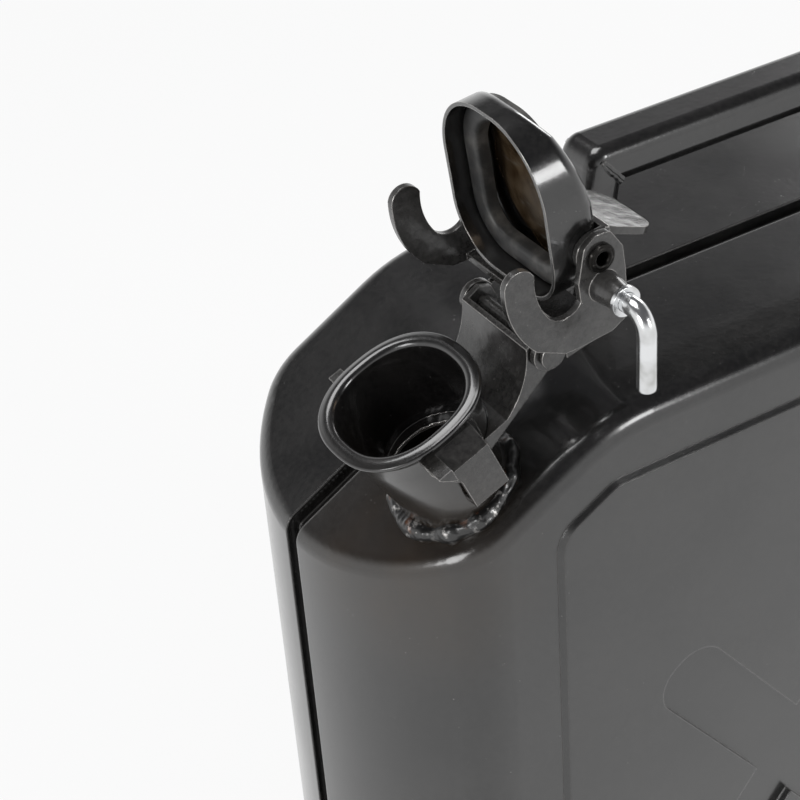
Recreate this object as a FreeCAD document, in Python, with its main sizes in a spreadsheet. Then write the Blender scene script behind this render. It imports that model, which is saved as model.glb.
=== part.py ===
# Pressed steel fuel can with a leaning spout and a cam-locked hinged lid.
# Millimetres. Origin at the centre of the base, +Z up, the spout end at -X,
# and the spout itself on the left half (-Y).
import FreeCAD, Part
import math
import os

import Sketcher

Vector = FreeCAD.Vector

DIMENSIONS = [
    ("can_length", 280, "front to rear over the pressed body"),
    ("can_half_width", 63, "seam to the flat of one side"),
    ("can_height", 318, "base to the flat top"),
    ("sheet_wall", 0.9, "body sheet thickness"),
    ("shoulder_angle", 29.2, "slope of the shoulder that carries the spout"),
    ("shoulder_run", 78, "length of the shoulder from the front"),
    ("top_bend", 60, "soft bend between shoulder and top"),
    ("edge_round", 7, "rounding between walls and top or base"),
    ("front_bow", 78, "plan radius of the bowed front"),
    ("rear_bow", 110, "plan radius of the bowed rear"),
    ("corner_round", 24, "plan radius of the four upright corners"),
    ("channel_half", 3.3, "half width of the sunk seam channel"),
    ("channel_depth", 5, "depth of the seam channel"),
    ("seam_height", 1.6, "height of the weld bead in the channel"),
    ("seam_half", 1.5, "half width of the weld bead"),
    ("panel_raise", 1.8, "raised side panel, height"),
    ("panel_inset", 21, "raised side panel, margin to the outline"),
    ("panel_front", 57, "raised side panel, distance from the front"),
    ("panel_corner", 12, "raised side panel, corner radius"),
    ("cross_width", 26, "width of the pressed cross in the panel"),
    ("cross_depth", 3.2, "depth of the pressed cross"),
    ("cross_length", 170, "length of each arm pair of the cross"),
    ("cross_tilt", 52, "slope of the cross arms"),
    ("neck_side", 34, "spout axis to the seam plane"),
    ("neck_set", 38.72, "spout axis where it meets the shoulder, from the front"),
    ("neck_rise", 41.08, "length of the spout along its axis, shoulder to mouth"),
    ("neck_lean", 22.5, "lean of the spout towards the front"),
    ("neck_radius", 20.6, "spout tube outer radius below the rim"),
    ("neck_foot_radius", 20.2, "spout tube outer radius at its foot"),
    ("neck_wall", 1.2, "spout tube thickness"),
    ("rim_radius", 24.2, "outer radius of the rolled rim"),
    ("rim_roll", 4.8, "height of the rolled rim"),
    ("neck_flare", 0.6, "flare of the tube under the rim"),
    ("neck_spare", 8, "length of the drawn tube that its slanted trim cuts off"),
    ("hole_ledge", 1.3, "shoulder sheet left standing inside the spout foot"),
    ("weld_leg", 4.2, "leg of the weld round the spout foot"),
    ("hinge_s", 40.6, "lid hinge behind the spout axis"),
    ("hinge_n", -6.6, "lid hinge against the mouth plane"),
    ("hinge_pin_radius", 2.4, "lid hinge pin"),
    ("running_gap", 0.06, "radial clearance of the pivots"),
    ("saddle_radius", 28.8, "hollow of the saddle, round the closed cam pivot"),
    ("saddle_wall", 1.5, "saddle sheet thickness"),
    ("saddle_half", 17, "half width of the saddle"),
    ("flange_wall", 2, "saddle flange thickness"),
    ("saddle_low", 21.5, "lower edge of the saddle's hollow, below the mouth"),
    ("saddle_shoulder", 14, "saddle beside the spout, below the mouth"),
    ("saddle_top", 4.6, "top of the saddle above the hinge axis"),
    ("saddle_front", 12, "front of the saddle's top before the hinge axis"),
    ("saddle_seat", 9, "how far the saddle's sheet first reaches into the spout"),
    ("flange_low", 24, "lower end of the saddle flange, below the mouth"),
    ("flange_high", 19, "upper end of the saddle flange at the spout, below the mouth"),
    ("flange_tail", 4.4, "reach of the saddle flange behind the hinge axis"),
    ("boss_radius", 5.6, "radius of the ends round the hinge pin"),
    ("lid_half_width", 25.7, "lid shell, outer half width"),
    ("lid_front", 31, "lid shell, reach in front of the spout axis"),
    ("lid_rear", 26, "lid shell, reach behind the spout axis"),
    ("lid_crown", 11.5, "lid shell, top above the mouth plane"),
    ("lid_front_round", 23, "plan corner radius at the front of the lid"),
    ("lid_rear_round", 17, "plan corner radius at the rear of the lid"),
    ("lid_front_drop", 9, "fall of the lid's top to its front edge"),
    ("lid_mid_drop", 4.5, "fall of the lid's top at the front bevel"),
    ("lid_bevel", 7, "length of the steep front bevel"),
    ("lid_rear_drop", 2.5, "fall of the lid's top to its rear edge"),
    ("lid_rear_bevel", 5, "length of the rear bevel"),
    ("lid_crest", 5, "start of the lid's flat top before the spout axis"),
    ("lid_edge_round", 4.2, "rounding round the lid's top"),
    ("lid_skirt", 5, "lid skirt below the mouth plane"),
    ("lid_wall", 1.2, "lid sheet thickness"),
    ("lid_open", 105.7, "swing of the open lid"),
    ("gasket_gap", 0.3, "gasket face above the closed rim"),
    ("gasket_thick", 4.6, "gasket thickness"),
    ("gasket_width", 7.2, "gasket ring, width of the face"),
    ("pivot_s", 8.3, "cam pivot behind the spout axis, lid closed"),
    ("pivot_n", 7.35, "cam pivot above the mouth plane, lid closed"),
    ("rivet_radius", 3.0, "cam pivot rivet"),
    ("rivet_bore", 1.9, "bore of the hollow rivet"),
    ("rivet_head", 4.4, "rivet head radius"),
    ("head_thick", 1.2, "rivet and pin head thickness"),
    ("ear_inner", 25.9, "lid ear, inner face from the spout plane"),
    ("ear_wall", 1.8, "lid ear thickness"),
    ("ear_radius", 6.2, "lid ear radius round the pivot"),
    ("yoke_front", 6, "front end of the yoke legs before the pivot"),
    ("yoke_back", 12, "rear end of the yoke's seat on the lid, behind the pivot"),
    ("yoke_rise", 5.2, "height of the yoke legs over the lid's top"),
    ("yoke_bend_s", 26, "outer bend of the yoke legs, behind the pivot"),
    ("yoke_bend_n", 14.4, "outer bend of the yoke legs, above the pivot"),
    ("yoke_fall_s", 34.6, "outer end of the yoke's slope, behind the pivot"),
    ("yoke_fall_n", 8.5, "outer end of the yoke's slope, above the pivot"),
    ("yoke_depth", 6, "depth of the yoke legs across their run"),
    ("yoke_clear", 14, "front of the narrow yoke before the hinge axis"),
    ("side_gap", 0.4, "gap between plates that turn past each other"),
    ("lever_wall", 2.2, "cam lever sheet thickness"),
    ("bearing_radius", 21.8, "hook bearing face, round the cam pivot"),
    ("hook_radius", 31.4, "outer edge of the hook arm"),
    ("web_front", 23.6, "lever web, inner face behind the pivot"),
    ("web_reach", 26, "lever web, outer face behind the pivot"),
    ("ear_crest", 7.8, "top of the lever plate over the pivot"),
    ("ear_front", 7.4, "front of the lever plate before the pivot"),
    ("ear_low", 8, "lever plate's slot, upper side below the pivot"),
    ("plate_back", 23.5, "rear corner of the lever plate's top behind the pivot"),
    ("plate_back_n", 6.6, "rear corner of the lever plate's top above the pivot"),
    ("slot_end", 11.5, "rounded end of the hook slot behind the pivot"),
    ("slot_round", 6.6, "radius of the end of the hook slot"),
    ("ear_round", 2.2, "corner rounding of the lever plate"),
    ("hook_point", 12, "angle of the hook's inner corner before the pivot line"),
    ("hook_end", 8, "angle of the hook's outer corner before the pivot line"),
    ("hook_root", 30, "angle at which the slot's bearing face starts"),
    ("hook_heel", 40, "angle at which the hook's outer edge ends"),
    ("web_low", 10, "lower edge of the lever web below the pivot"),
    ("web_high", 1, "upper end of the lever web above the pivot"),
    ("web_foot", 5, "slope of the plate under the web"),
    ("stem_rise", 16.8, "top of the stem above the pivot"),
    ("stem_far", 17.6, "rear bend of the stem behind the pivot"),
    ("stem_near", 9, "front end of the stem behind the pivot"),
    ("paddle_s", 5.5, "root of the thumb paddle behind the pivot"),
    ("paddle_n", 12, "root of the thumb paddle above the pivot"),
    ("paddle_run", 9.5, "thumb paddle, root to tip along the lid"),
    ("paddle_reach", 18.2, "thumb paddle, root to tip above the lid"),
    ("stem_half", 6.5, "half width of the stem that carries the thumb paddle"),
    ("paddle_half", 13.5, "half width of the thumb paddle"),
    ("paddle_round", 6, "corner radius of the thumb paddle"),
    ("leg_inner", 17.6, "lid yoke leg, inner face from the spout plane"),
    ("leg_wall", 2, "lid yoke leg thickness"),
    ("catch_face", 27.7, "catch strip, outer face from the spout plane"),
    ("catch_wall", 1.8, "catch strip thickness"),
    ("catch_front", 8.5, "front of the catch strip before the spout axis"),
    ("catch_length", 18, "length of the catch strip along the mouth"),
    ("catch_root", 3.2, "how far the catch strip first reaches into the spout"),
    ("catch_lap", 4.6, "reach of the strip along the rim before it slants out"),
    ("catch_high", 10, "top of the catch's upright face below the mouth"),
    ("catch_low", 27, "foot of the catch's upright face below the mouth"),
    ("catch_foot", 31.5, "lower end of the catch at the spout below the mouth"),
    ("catch_notch", 2.5, "front of the catch's tab before the spout axis"),
    ("catch_notch_n", 15.4, "top of the notch beside the tab, below the mouth"),
    ("lug_length", 4.7, "length of the catch lug along the mouth"),
    ("lug_reach", 31, "catch lug, outer end from the spout plane"),
    ("lug_radius", 21.3, "catch lug underside, round the closed pivot"),
    ("pin_radius", 2.9, "locking pin rod"),
    ("pin_drop", 9.7, "locking pin behind the cam pivot"),
    ("pin_start", 26, "inner end of the locking pin"),
    ("pin_bend_at", 50, "plane of the pin's hanging leg"),
    ("pin_leg", 24, "length of the pin's leg below its axis"),
    ("pin_bend_radius", 6, "bend radius of the pin"),
    ("collar_length", 9, "collar on the lever for the pin"),
    ("collar_radius", 5.0, "collar radius at the lever"),
    ("collar_tip", 3.9, "collar radius at its outer end"),
    ("clip_thick", 1.4, "stop ring on the pin"),
    ("clip_radius", 4.6, "stop ring outer radius"),
    ("handle_front_set", 109, "front of the can to the front post of the handle"),
    ("handle_rear_set", 40, "rear of the can to the rear post of the handle"),
    ("handle_lean", 9, "backward lean of the posts"),
    ("handle_top", 372, "top of the handle above the base"),
    ("handle_deep", 14, "handle section, along the can and up"),
    ("handle_wide", 18.5, "handle section, across the can"),
    ("handle_wall", 1.4, "handle sheet thickness"),
    ("handle_round", 4.5, "corner radius of the handle section"),
    ("foot_weld", 3.2, "weld round the handle posts"),
]


def make_sheet(doc):
    sheet = doc.addObject("Spreadsheet::Sheet", "Dims")
    for row, (alias, value, note) in enumerate(DIMENSIONS, start=1):
        sheet.set(f"A{row}", note)
        sheet.set(f"B{row}", str(value))
        sheet.setAlias(f"B{row}", alias)
    doc.recompute()
    return sheet


document = FreeCAD.newDocument("jerrycan")
dims = make_sheet(document)
LEFT = -1
RIGHT = 1


class Sheet:
    """Read one driving dimension by its alias."""

    def __getattr__(self, alias):
        return float(dims.get(alias))


size = Sheet()


def plane(body, role):
    return next(f for f in body.Origin.OriginFeatures if f.Role == role)


def new_body(name, placement=None):
    body = document.addObject("PartDesign::Body", name)
    body.Label = name
    if placement is not None:
        body.Placement = placement
    return body


def new_sketch(body, role="XZ_Plane", lift=None):
    sketch = body.newObject("Sketcher::SketchObject", "outline")
    sketch.AttachmentSupport = [(plane(body, role), "")]
    sketch.MapMode = "FlatFace"
    if lift is not None:
        sketch.setExpression("AttachmentOffset.Base.z", lift)
    return sketch


def pin_point(sketch, edge, end, spot, formulas):
    """Hold one sketch point at two formulas over the sheet."""
    for axis, value, formula in zip("XY", spot, formulas):
        index = sketch.addConstraint(
            Sketcher.Constraint("Distance" + axis, -1, 1, edge, end, value))
        sketch.setExpression(f"Constraints[{index}]", formula)


def outline(sketch, corners, closed=True):
    """Outline of (x, y) for a straight side and (x, y, radius, turn) for an arc.

    turn +1 keeps the arc's centre on the left of the way to the next corner.
    """
    spots = [tuple(float(sketch.evalExpression(c[k])) for k in (0, 1)) for c in corners]
    first = sketch.GeometryCount
    count = len(corners)
    ends = []
    sides = count if closed else count - 1
    for i, corner in enumerate(corners[:sides]):
        a = Vector(*spots[i], 0)
        b = Vector(*spots[(i + 1) % count], 0)
        if len(corner) == 2:
            sketch.addGeometry(Part.LineSegment(a, b), False)
            ends.append((1, 2))
            continue
        radius = float(sketch.evalExpression(corner[2]))
        chord = b - a
        inward = Vector(-chord.y, chord.x, 0).normalize() * corner[3]
        rise = math.sqrt(max(radius**2 - (chord.Length / 2)**2, 0))
        centre = (a + b) * 0.5 + inward * rise
        start, stop = (a, b) if corner[3] > 0 else (b, a)
        angles = [math.atan2(p.y - centre.y, p.x - centre.x) for p in (start, stop)]
        full = Part.Circle(centre, Vector(0, 0, 1), radius)
        sketch.addGeometry(Part.ArcOfCircle(full, angles[0], angles[1]), False)
        ends.append((1, 2) if corner[3] > 0 else (2, 1))
    for i in range(sides if closed else sides - 1):
        after = (i + 1) % sides
        sketch.addConstraint(Sketcher.Constraint(
            "Coincident", first + i, ends[i][1], first + after, ends[after][0]))
    if not closed:
        pin_point(sketch, first + sides - 1, ends[-1][1], spots[-1], corners[-1][:2])
    for i, corner in enumerate(corners[:sides]):
        pin_point(sketch, first + i, ends[i][0], spots[i], corner[:2])
        if len(corner) > 2:
            radius = float(sketch.evalExpression(corner[2]))
            index = sketch.addConstraint(Sketcher.Constraint("Radius", first + i, radius))
            sketch.setExpression(f"Constraints[{index}]", corner[2])


def circle(sketch, x, y, radius):
    """Full circle from three formulas over the sheet."""
    spot = (float(sketch.evalExpression(x)), float(sketch.evalExpression(y)))
    value = float(sketch.evalExpression(radius))
    edge = sketch.GeometryCount
    sketch.addGeometry(Part.Circle(Vector(*spot, 0), Vector(0, 0, 1), value), False)
    pin_point(sketch, edge, 3, spot, (x, y))
    index = sketch.addConstraint(Sketcher.Constraint("Radius", edge, value))
    sketch.setExpression(f"Constraints[{index}]", radius)


def pad(body, sketch, length, symmetric=True, flip=False):
    feature = body.newObject("PartDesign::Pad", "pad")
    feature.Profile = sketch
    feature.SideType = "Symmetric" if symmetric else "One side"
    feature.Reversed = flip
    feature.setExpression("Length", length)
    document.recompute()
    return feature


def pocket(body, sketch, length, symmetric=True, flip=False):
    feature = body.newObject("PartDesign::Pocket", "pocket")
    feature.Profile = sketch
    feature.SideType = "Symmetric" if symmetric else "One side"
    feature.Reversed = flip
    feature.setExpression("Length", length)
    before = body.Shape.Volume
    document.recompute()
    if body.Shape.Volume >= before:
        raise ValueError(f"{body.Label}: a pocket cuts nothing")
    return feature


def revolve(body, sketch, axis="V_Axis"):
    feature = body.newObject("PartDesign::Revolution", "turned")
    feature.Profile = sketch
    feature.ReferenceAxis = (sketch, [axis])
    feature.Angle = 360
    document.recompute()
    return feature


def fillet(body, base, radius, choose):
    """Round the edges that choose(edge) accepts."""
    names = [f"Edge{i}" for i, edge in enumerate(base.Shape.Edges, 1) if choose(edge)]
    if not names:
        raise ValueError(f"{body.Label}: no edge to round")
    feature = body.newObject("PartDesign::Fillet", "round")
    feature.Base = (base, names)
    feature.setExpression("Radius", radius)
    document.recompute()
    return feature


def along_y(edge):
    """A straight edge that runs across the spout plane."""
    if edge.Curve.TypeId != "Part::GeomLine":
        return False
    return abs(edge.tangentAt(edge.FirstParameter).y) > 0.999


def shoulder_spot():
    """Where the spout's axis meets the sloping shoulder."""
    drop = (size.shoulder_run - size.neck_set) * math.tan(math.radians(size.shoulder_angle))
    return Vector(size.neck_set - size.can_length / 2, -size.neck_side, size.can_height - drop)


def neck_frame():
    """Local x to the rear along the mouth, z up out of the mouth."""
    lean = FreeCAD.Rotation(Vector(0, 1, 0), -size.neck_lean)
    mouth = shoulder_spot() + lean.multVec(Vector(0, 0, size.neck_rise))
    return FreeCAD.Placement(mouth, lean)


def lid_frame():
    """The neck frame swung about the hinge to the open lid."""
    hinge = Vector(size.hinge_s, 0, size.hinge_n)
    swing = FreeCAD.Placement(Vector(), FreeCAD.Rotation(Vector(0, 1, 0), size.lid_open), hinge)
    return neck_frame().multiply(swing)


def solid_feature(name, shape, placement=None):
    feature = document.addObject("Part::Feature", name)
    feature.Label = name
    feature.Shape = shape
    if placement is not None:
        feature.Placement = placement
    return feature


def arc(start, through, end):
    return Part.Arc(start, through, end).toShape()


def line(start, end):
    return Part.LineSegment(start, end).toShape()


def on_circle(centre, radius, angle):
    return centre + Vector(math.cos(angle), math.sin(angle), 0) * radius


def bowed_end(end_x, bow, corner, half_width, inward):
    """Bow and corner arcs of one end of the plan, from the seam to the side."""
    bow_centre = Vector(end_x + inward * bow, 0, 0)
    reach = bow - corner
    drop = half_width - corner
    corner_centre = bow_centre + Vector(-inward * math.sqrt(reach**2 - drop**2), -drop, 0)
    start = math.pi if inward > 0 else 0
    span = math.asin(drop / reach) * (1 if inward > 0 else -1)
    join = on_circle(bow_centre, bow, start + span)
    down = start + math.pi / 2 * (1 if inward > 0 else -1)
    side_end = on_circle(corner_centre, corner, down)
    bow_arc = arc(Vector(end_x, 0, 0), on_circle(bow_centre, bow, start + span / 2), join)
    middle = on_circle(corner_centre, corner, (start + span + down) / 2)
    return [bow_arc, arc(join, middle, side_end)], side_end


def plan_face(inset):
    """Half plan of the can on the left of the seam, drawn in by inset."""
    half_width = size.can_half_width - inset
    corner = size.corner_round - inset
    front = -size.can_length / 2 + inset
    rear = size.can_length / 2 - inset
    front_arcs, front_end = bowed_end(front, size.front_bow - inset, corner, half_width, 1)
    rear_arcs, rear_end = bowed_end(rear, size.rear_bow - inset, corner, half_width, -1)
    edges = front_arcs + rear_arcs
    edges.append(line(front_end, rear_end))
    edges.append(line(Vector(rear, 0, 0), Vector(front, 0, 0)))
    return Part.Face(Part.Wire(Part.__sortEdges__(edges)))


def profile_face(inset):
    """Side outline of the can, past its ends, drawn in by inset from base and top."""
    slope = math.radians(size.shoulder_angle)
    over = size.corner_round
    front = -size.can_length / 2 - over
    rear = size.can_length / 2 + over
    top = size.can_height - inset
    knee = -size.can_length / 2 + size.shoulder_run + inset * math.tan(slope / 2)
    bend = size.top_bend - inset
    run = bend * math.tan(slope / 2)
    centre = Vector(knee + run, 0, top - bend)
    lower = centre + Vector(-math.sin(slope), 0, math.cos(slope)) * bend
    middle = centre + Vector(-math.sin(slope / 2), 0, math.cos(slope / 2)) * bend
    upper = Vector(knee + run, 0, top)
    low_front = lower + Vector(-1, 0, -math.tan(slope)) * (lower.x - front)
    edges = [
        line(Vector(front, 0, inset), Vector(rear, 0, inset)),
        line(Vector(rear, 0, inset), Vector(rear, 0, top)),
        line(Vector(rear, 0, top), upper),
        arc(upper, middle, lower),
        line(lower, low_front),
        line(low_front, Vector(front, 0, inset)),
    ]
    return Part.Face(Part.Wire(edges))


def is_wall(face):
    u0, u1, v0, v1 = face.ParameterRange
    return abs(face.normalAt((u0 + u1) / 2, (v0 + v1) / 2).z) < 0.05


def half_form(inset):
    """Solid left half of the can with its rounded outline, drawn in by inset."""
    tall = plan_face(inset).extrude(Vector(0, 0, size.can_height + 2 * size.edge_round))
    tall.translate(Vector(0, 0, -size.edge_round))
    wide = profile_face(inset).extrude(Vector(0, -2 * size.can_half_width, 0))
    form = tall.common(wide)
    rim = []
    for edge in form.Edges:
        sides = [f for f in form.Faces if any(edge.isSame(e) for e in f.Edges)]
        if any(abs(f.CenterOfMass.y) < 0.01 for f in sides):
            continue
        if is_wall(sides[0]) != is_wall(sides[1]):
            rim.append(edge)
    return form.makeFillet(size.edge_round - inset, rim)


def seam_slab(half, inset):
    """The form's own middle slice, up to half away from the seam, sunk by inset."""
    slab = Part.makeBox(2 * size.can_length, half, 2 * size.can_height,
                        Vector(-size.can_length, -half, -size.can_height / 2))
    return half_form(inset).common(slab)


def stepped_form(inset):
    """Half form with the seam channel, drawn in by inset all over."""
    step = size.channel_half + inset
    beyond = Part.makeBox(2 * size.can_length, 2 * size.can_half_width, 2 * size.can_height,
                          Vector(-size.can_length, -step - 2 * size.can_half_width,
                                 -size.can_height / 2))
    return half_form(inset).common(beyond).fuse(
        seam_slab(step, size.channel_depth + inset)).removeSplitter()


def side_panel():
    """Raised panel on the side with the pressed cross sunk in it."""
    front = -size.can_length / 2 + size.panel_front
    rear = size.can_length / 2 - size.panel_inset
    base = size.panel_inset
    top = size.can_height - size.panel_inset
    slope = math.tan(math.radians(size.shoulder_angle))
    knee = -size.can_length / 2 + size.shoulder_run
    low = top - slope * (knee - front)
    points = [(front, base), (rear, base), (rear, top), (knee, top), (front, low)]
    wire = Part.makePolygon([Vector(x, 0, z) for x, z in points + points[:1]])
    face = Part.Face(wire)
    depth = 2 * size.panel_raise
    block = face.extrude(Vector(0, -depth, 0))
    upright = [e for e in block.Edges if along_y(e)]
    block = block.makeFillet(size.panel_corner, upright)
    outer = -depth + 0.01
    crest = [e for e in block.Edges if e.CenterOfMass.y < outer]
    block = block.makeChamfer(size.panel_raise * 0.9, crest)
    block.translate(Vector(0, -size.can_half_width + size.panel_raise, 0))
    return block


def cross_arms(depth, shrink):
    """Two crossing bars over the middle of the panel."""
    bars = []
    centre = Vector(size.can_length / 2 - size.panel_inset - size.cross_length / 2 - 20, 0,
                    size.can_height * 0.45)
    width = size.cross_width - 2 * shrink
    length = size.cross_length - 2 * shrink
    for tilt in (size.cross_tilt, -size.cross_tilt):
        bar = Part.makeBox(length, depth, width, Vector(-length / 2, -depth / 2, -width / 2))
        bar = bar.makeFillet(width * 0.45, [e for e in bar.Edges if along_y(e)])
        bar.rotate(Vector(), Vector(0, 1, 0), tilt)
        bar.translate(centre)
        bars.append(bar)
    return bars[0].fuse(bars[1])


def pressed_half():
    """Left half as one open sheet shell with panel and cross pressed in."""
    wall = size.sheet_wall
    panel_face = -size.can_half_width - size.panel_raise
    outer = stepped_form(0).fuse(side_panel())
    inner = stepped_form(wall)
    inner_panel = side_panel()
    inner_panel.translate(Vector(0, wall, 0))
    inner = inner.fuse(inner_panel)
    sink = cross_arms(2 * size.cross_depth, 0)
    sink.translate(Vector(0, panel_face, 0))
    backing = cross_arms(2 * size.cross_depth, -wall)
    backing.translate(Vector(0, panel_face + wall, 0))
    outer = outer.cut(sink)
    inner = inner.cut(backing)
    return outer.cut(inner).removeSplitter()


def neck_hole():
    """Round hole in the shoulder, a little narrower than the spout that stands on it."""
    radius = size.neck_foot_radius - size.neck_wall - size.hole_ledge
    plug = Part.makeCylinder(radius, size.neck_rise, Vector(0, 0, -1.5 * size.neck_rise))
    plug.Placement = neck_frame()
    return plug


def body_halves():
    left = pressed_half()
    right = left.mirror(Vector(), Vector(0, 1, 0))
    left = left.cut(neck_hole())
    solid_feature("body_left_half", left)
    solid_feature("body_right_half", right)


def seam_weld():
    """Weld bead that runs round the can on the floor of the channel."""
    inset = size.channel_depth
    band = seam_slab(size.seam_half, inset - size.seam_height)
    bead = band.cut(half_form(inset))
    both = bead.fuse(bead.mirror(Vector(), Vector(0, 1, 0))).removeSplitter()
    solid_feature("seam_weld", both)


def neck_tube():
    """Drawn tube with a rolled mouth, its foot trimmed to the slope of the shoulder."""
    body = new_body("neck_tube", neck_frame())
    sketch = new_sketch(body)
    lip = "Dims.rim_roll / 2"
    low = "-Dims.neck_rise - Dims.neck_spare"
    outline(sketch, [
        ("Dims.neck_foot_radius - Dims.neck_wall", low),
        ("Dims.neck_foot_radius", low),
        ("Dims.neck_radius", "-Dims.rim_roll - Dims.neck_flare"),
        ("Dims.neck_radius + Dims.neck_flare", "-Dims.rim_roll"),
        (f"Dims.rim_radius - {lip}", "-Dims.rim_roll", lip, 1),
        ("Dims.rim_radius", f"-{lip}", lip, 1),
        (f"Dims.rim_radius - {lip}", "0"),
        ("Dims.neck_radius", "0", "Dims.neck_wall", 1),
        ("Dims.neck_radius - Dims.neck_wall", "-Dims.neck_wall"),
        ("Dims.neck_radius - Dims.neck_wall", "-Dims.rim_roll - Dims.neck_flare"),
    ])
    revolve(body, sketch)
    trim = new_sketch(body)
    slope = "2 * Dims.neck_radius * tan(Dims.shoulder_angle - Dims.neck_lean)"
    outline(trim, [
        ("-2 * Dims.neck_radius", f"-Dims.neck_rise - {slope}"),
        ("-2 * Dims.neck_radius", "-3 * Dims.neck_rise"),
        ("2 * Dims.neck_radius", "-3 * Dims.neck_rise"),
        ("2 * Dims.neck_radius", f"-Dims.neck_rise + {slope}"),
    ])
    pocket(body, trim, "4 * Dims.neck_radius")


def neck_weld(outer_form):
    """Weld fillet round the spout's foot, square to the shoulder."""
    sunk = 0.3 * size.weld_leg
    bead = Part.makeCone(size.neck_foot_radius + 1.3 * size.weld_leg,
                         size.neck_foot_radius + 0.2 * size.weld_leg,
                         1.3 * size.weld_leg, Vector(0, 0, -sunk))
    tilt = FreeCAD.Rotation(Vector(0, 1, 0), -size.shoulder_angle)
    bead.Placement = FreeCAD.Placement(shoulder_spot(), tilt)
    low = size.neck_rise + size.neck_spare
    tube_form = Part.makeCone(size.neck_foot_radius, size.neck_radius,
                              low - size.rim_roll - size.neck_flare, Vector(0, 0, -low))
    tube_form.Placement = neck_frame()
    solid_feature("neck_weld", bead.cut(outer_form).cut(tube_form))


def far_corners():
    """Rectangle well outside everything near the spout and the lid."""
    return [("-4 * Dims.rim_radius", "-4 * Dims.rim_radius"),
            ("4 * Dims.rim_radius", "-4 * Dims.rim_radius"),
            ("4 * Dims.rim_radius", "4 * Dims.rim_radius"),
            ("-4 * Dims.rim_radius", "4 * Dims.rim_radius")]


def seat_on_neck(body):
    """Hollow out what lies within the spout tube, so that the piece seats on it."""
    seat = new_sketch(body, "XY_Plane")
    circle(seat, "0", "0", "Dims.neck_radius + Dims.running_gap")
    pocket(body, seat, "4 * Dims.neck_rise")


def saddle():
    """Bent saddle behind the spout that carries the lid hinge."""
    body = new_body("hinge_saddle", neck_frame())
    sketch = new_sketch(body)
    centre = ("Dims.pivot_s", "Dims.pivot_n")
    circle(sketch, *centre, "Dims.saddle_radius + Dims.saddle_wall")
    circle(sketch, *centre, "Dims.saddle_radius")
    pad(body, sketch, "2 * Dims.saddle_half")
    keep = new_sketch(body)
    start = "Dims.neck_radius - Dims.saddle_seat"
    outline(keep, far_corners())
    outline(keep, [
        (start, "-Dims.saddle_low"),
        ("Dims.hinge_s + 1", "-Dims.saddle_low"),
        ("Dims.hinge_s + 1", "Dims.hinge_n + Dims.saddle_top"),
        ("Dims.hinge_s - Dims.saddle_front", "Dims.hinge_n + Dims.saddle_top"),
        (start, "-Dims.saddle_shoulder"),
    ])
    pocket(body, keep, "4 * Dims.saddle_half")
    flange = new_sketch(body)
    outline(flange, [
        (start, "-Dims.flange_low"),
        ("Dims.hinge_s + Dims.flange_tail / 2", "Dims.hinge_n - Dims.boss_radius"),
        ("Dims.hinge_s + Dims.flange_tail", "Dims.hinge_n - Dims.boss_radius / 2"),
        ("Dims.hinge_s + Dims.flange_tail", "Dims.hinge_n + Dims.boss_radius / 2"),
        ("Dims.hinge_s + 1", "Dims.hinge_n + Dims.boss_radius"),
        ("Dims.pivot_s + Dims.saddle_radius * cos(19)",
         "Dims.pivot_n - Dims.saddle_radius * sin(19)", "Dims.saddle_radius", -1),
        ("Dims.pivot_s + Dims.saddle_radius * cos(65)",
         "Dims.pivot_n - Dims.saddle_radius * sin(65)"),
        (start, "-Dims.flange_high"),
    ])
    pad(body, flange, "2 * Dims.saddle_half")
    inside = new_sketch(body)
    back = "(Dims.saddle_radius + Dims.saddle_wall)"
    outline(inside, [
        ("-Dims.neck_radius", "-3 * Dims.neck_radius"),
        ("4 * Dims.neck_radius", "-3 * Dims.neck_radius"),
        ("4 * Dims.neck_radius", "2 * Dims.neck_radius"),
        (f"Dims.pivot_s + {back} * cos(-20)", f"Dims.pivot_n - {back} * sin(-20)", back, -1),
        (f"Dims.pivot_s + {back} * cos(85)", f"Dims.pivot_n - {back} * sin(85)"),
    ])
    pocket(body, inside, "2 * (Dims.saddle_half - Dims.flange_wall)")
    hole = new_sketch(body)
    circle(hole, "Dims.hinge_s", "Dims.hinge_n", "Dims.hinge_pin_radius + Dims.running_gap")
    pocket(body, hole, "4 * Dims.saddle_half")
    seat_on_neck(body)


def hinge_pin():
    body = new_body("hinge_pin", neck_frame())
    shaft = new_sketch(body)
    circle(shaft, "Dims.hinge_s", "Dims.hinge_n", "Dims.hinge_pin_radius")
    pad(body, shaft, "2 * (Dims.leg_inner + Dims.leg_wall + Dims.side_gap)")
    for flip in (False, True):
        head = new_sketch(body, lift="Dims.leg_inner + Dims.leg_wall + Dims.side_gap" if flip
                          else "-Dims.leg_inner - Dims.leg_wall - Dims.side_gap")
        circle(head, "Dims.hinge_s", "Dims.hinge_n", "Dims.hinge_pin_radius + 1.6")
        pad(body, head, "Dims.head_thick", symmetric=False, flip=not flip)


def lid_plan(inset):
    """Outline of the lid from above: a rounded D, wider at the front."""
    half = size.lid_half_width - inset
    front = -size.lid_front + inset
    rear = size.lid_rear - inset
    front_round = size.lid_front_round - inset
    rear_round = size.lid_rear_round - inset
    box = Part.makeBox(rear - front, 2 * half, 4 * size.lid_crown,
                       Vector(front, -half, -2 * size.lid_crown))
    ends = [e for e in box.Edges if abs(e.tangentAt(e.FirstParameter).z) > 0.99]
    box = box.makeFillet(front_round, [e for e in ends if e.CenterOfMass.x < 0])
    ends = [e for e in box.Edges if e.Curve.TypeId == "Part::GeomLine"
            and abs(e.tangentAt(e.FirstParameter).z) > 0.99
            and abs(e.CenterOfMass.x - rear) < 0.01]
    return box.makeFillet(rear_round, ends)


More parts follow.
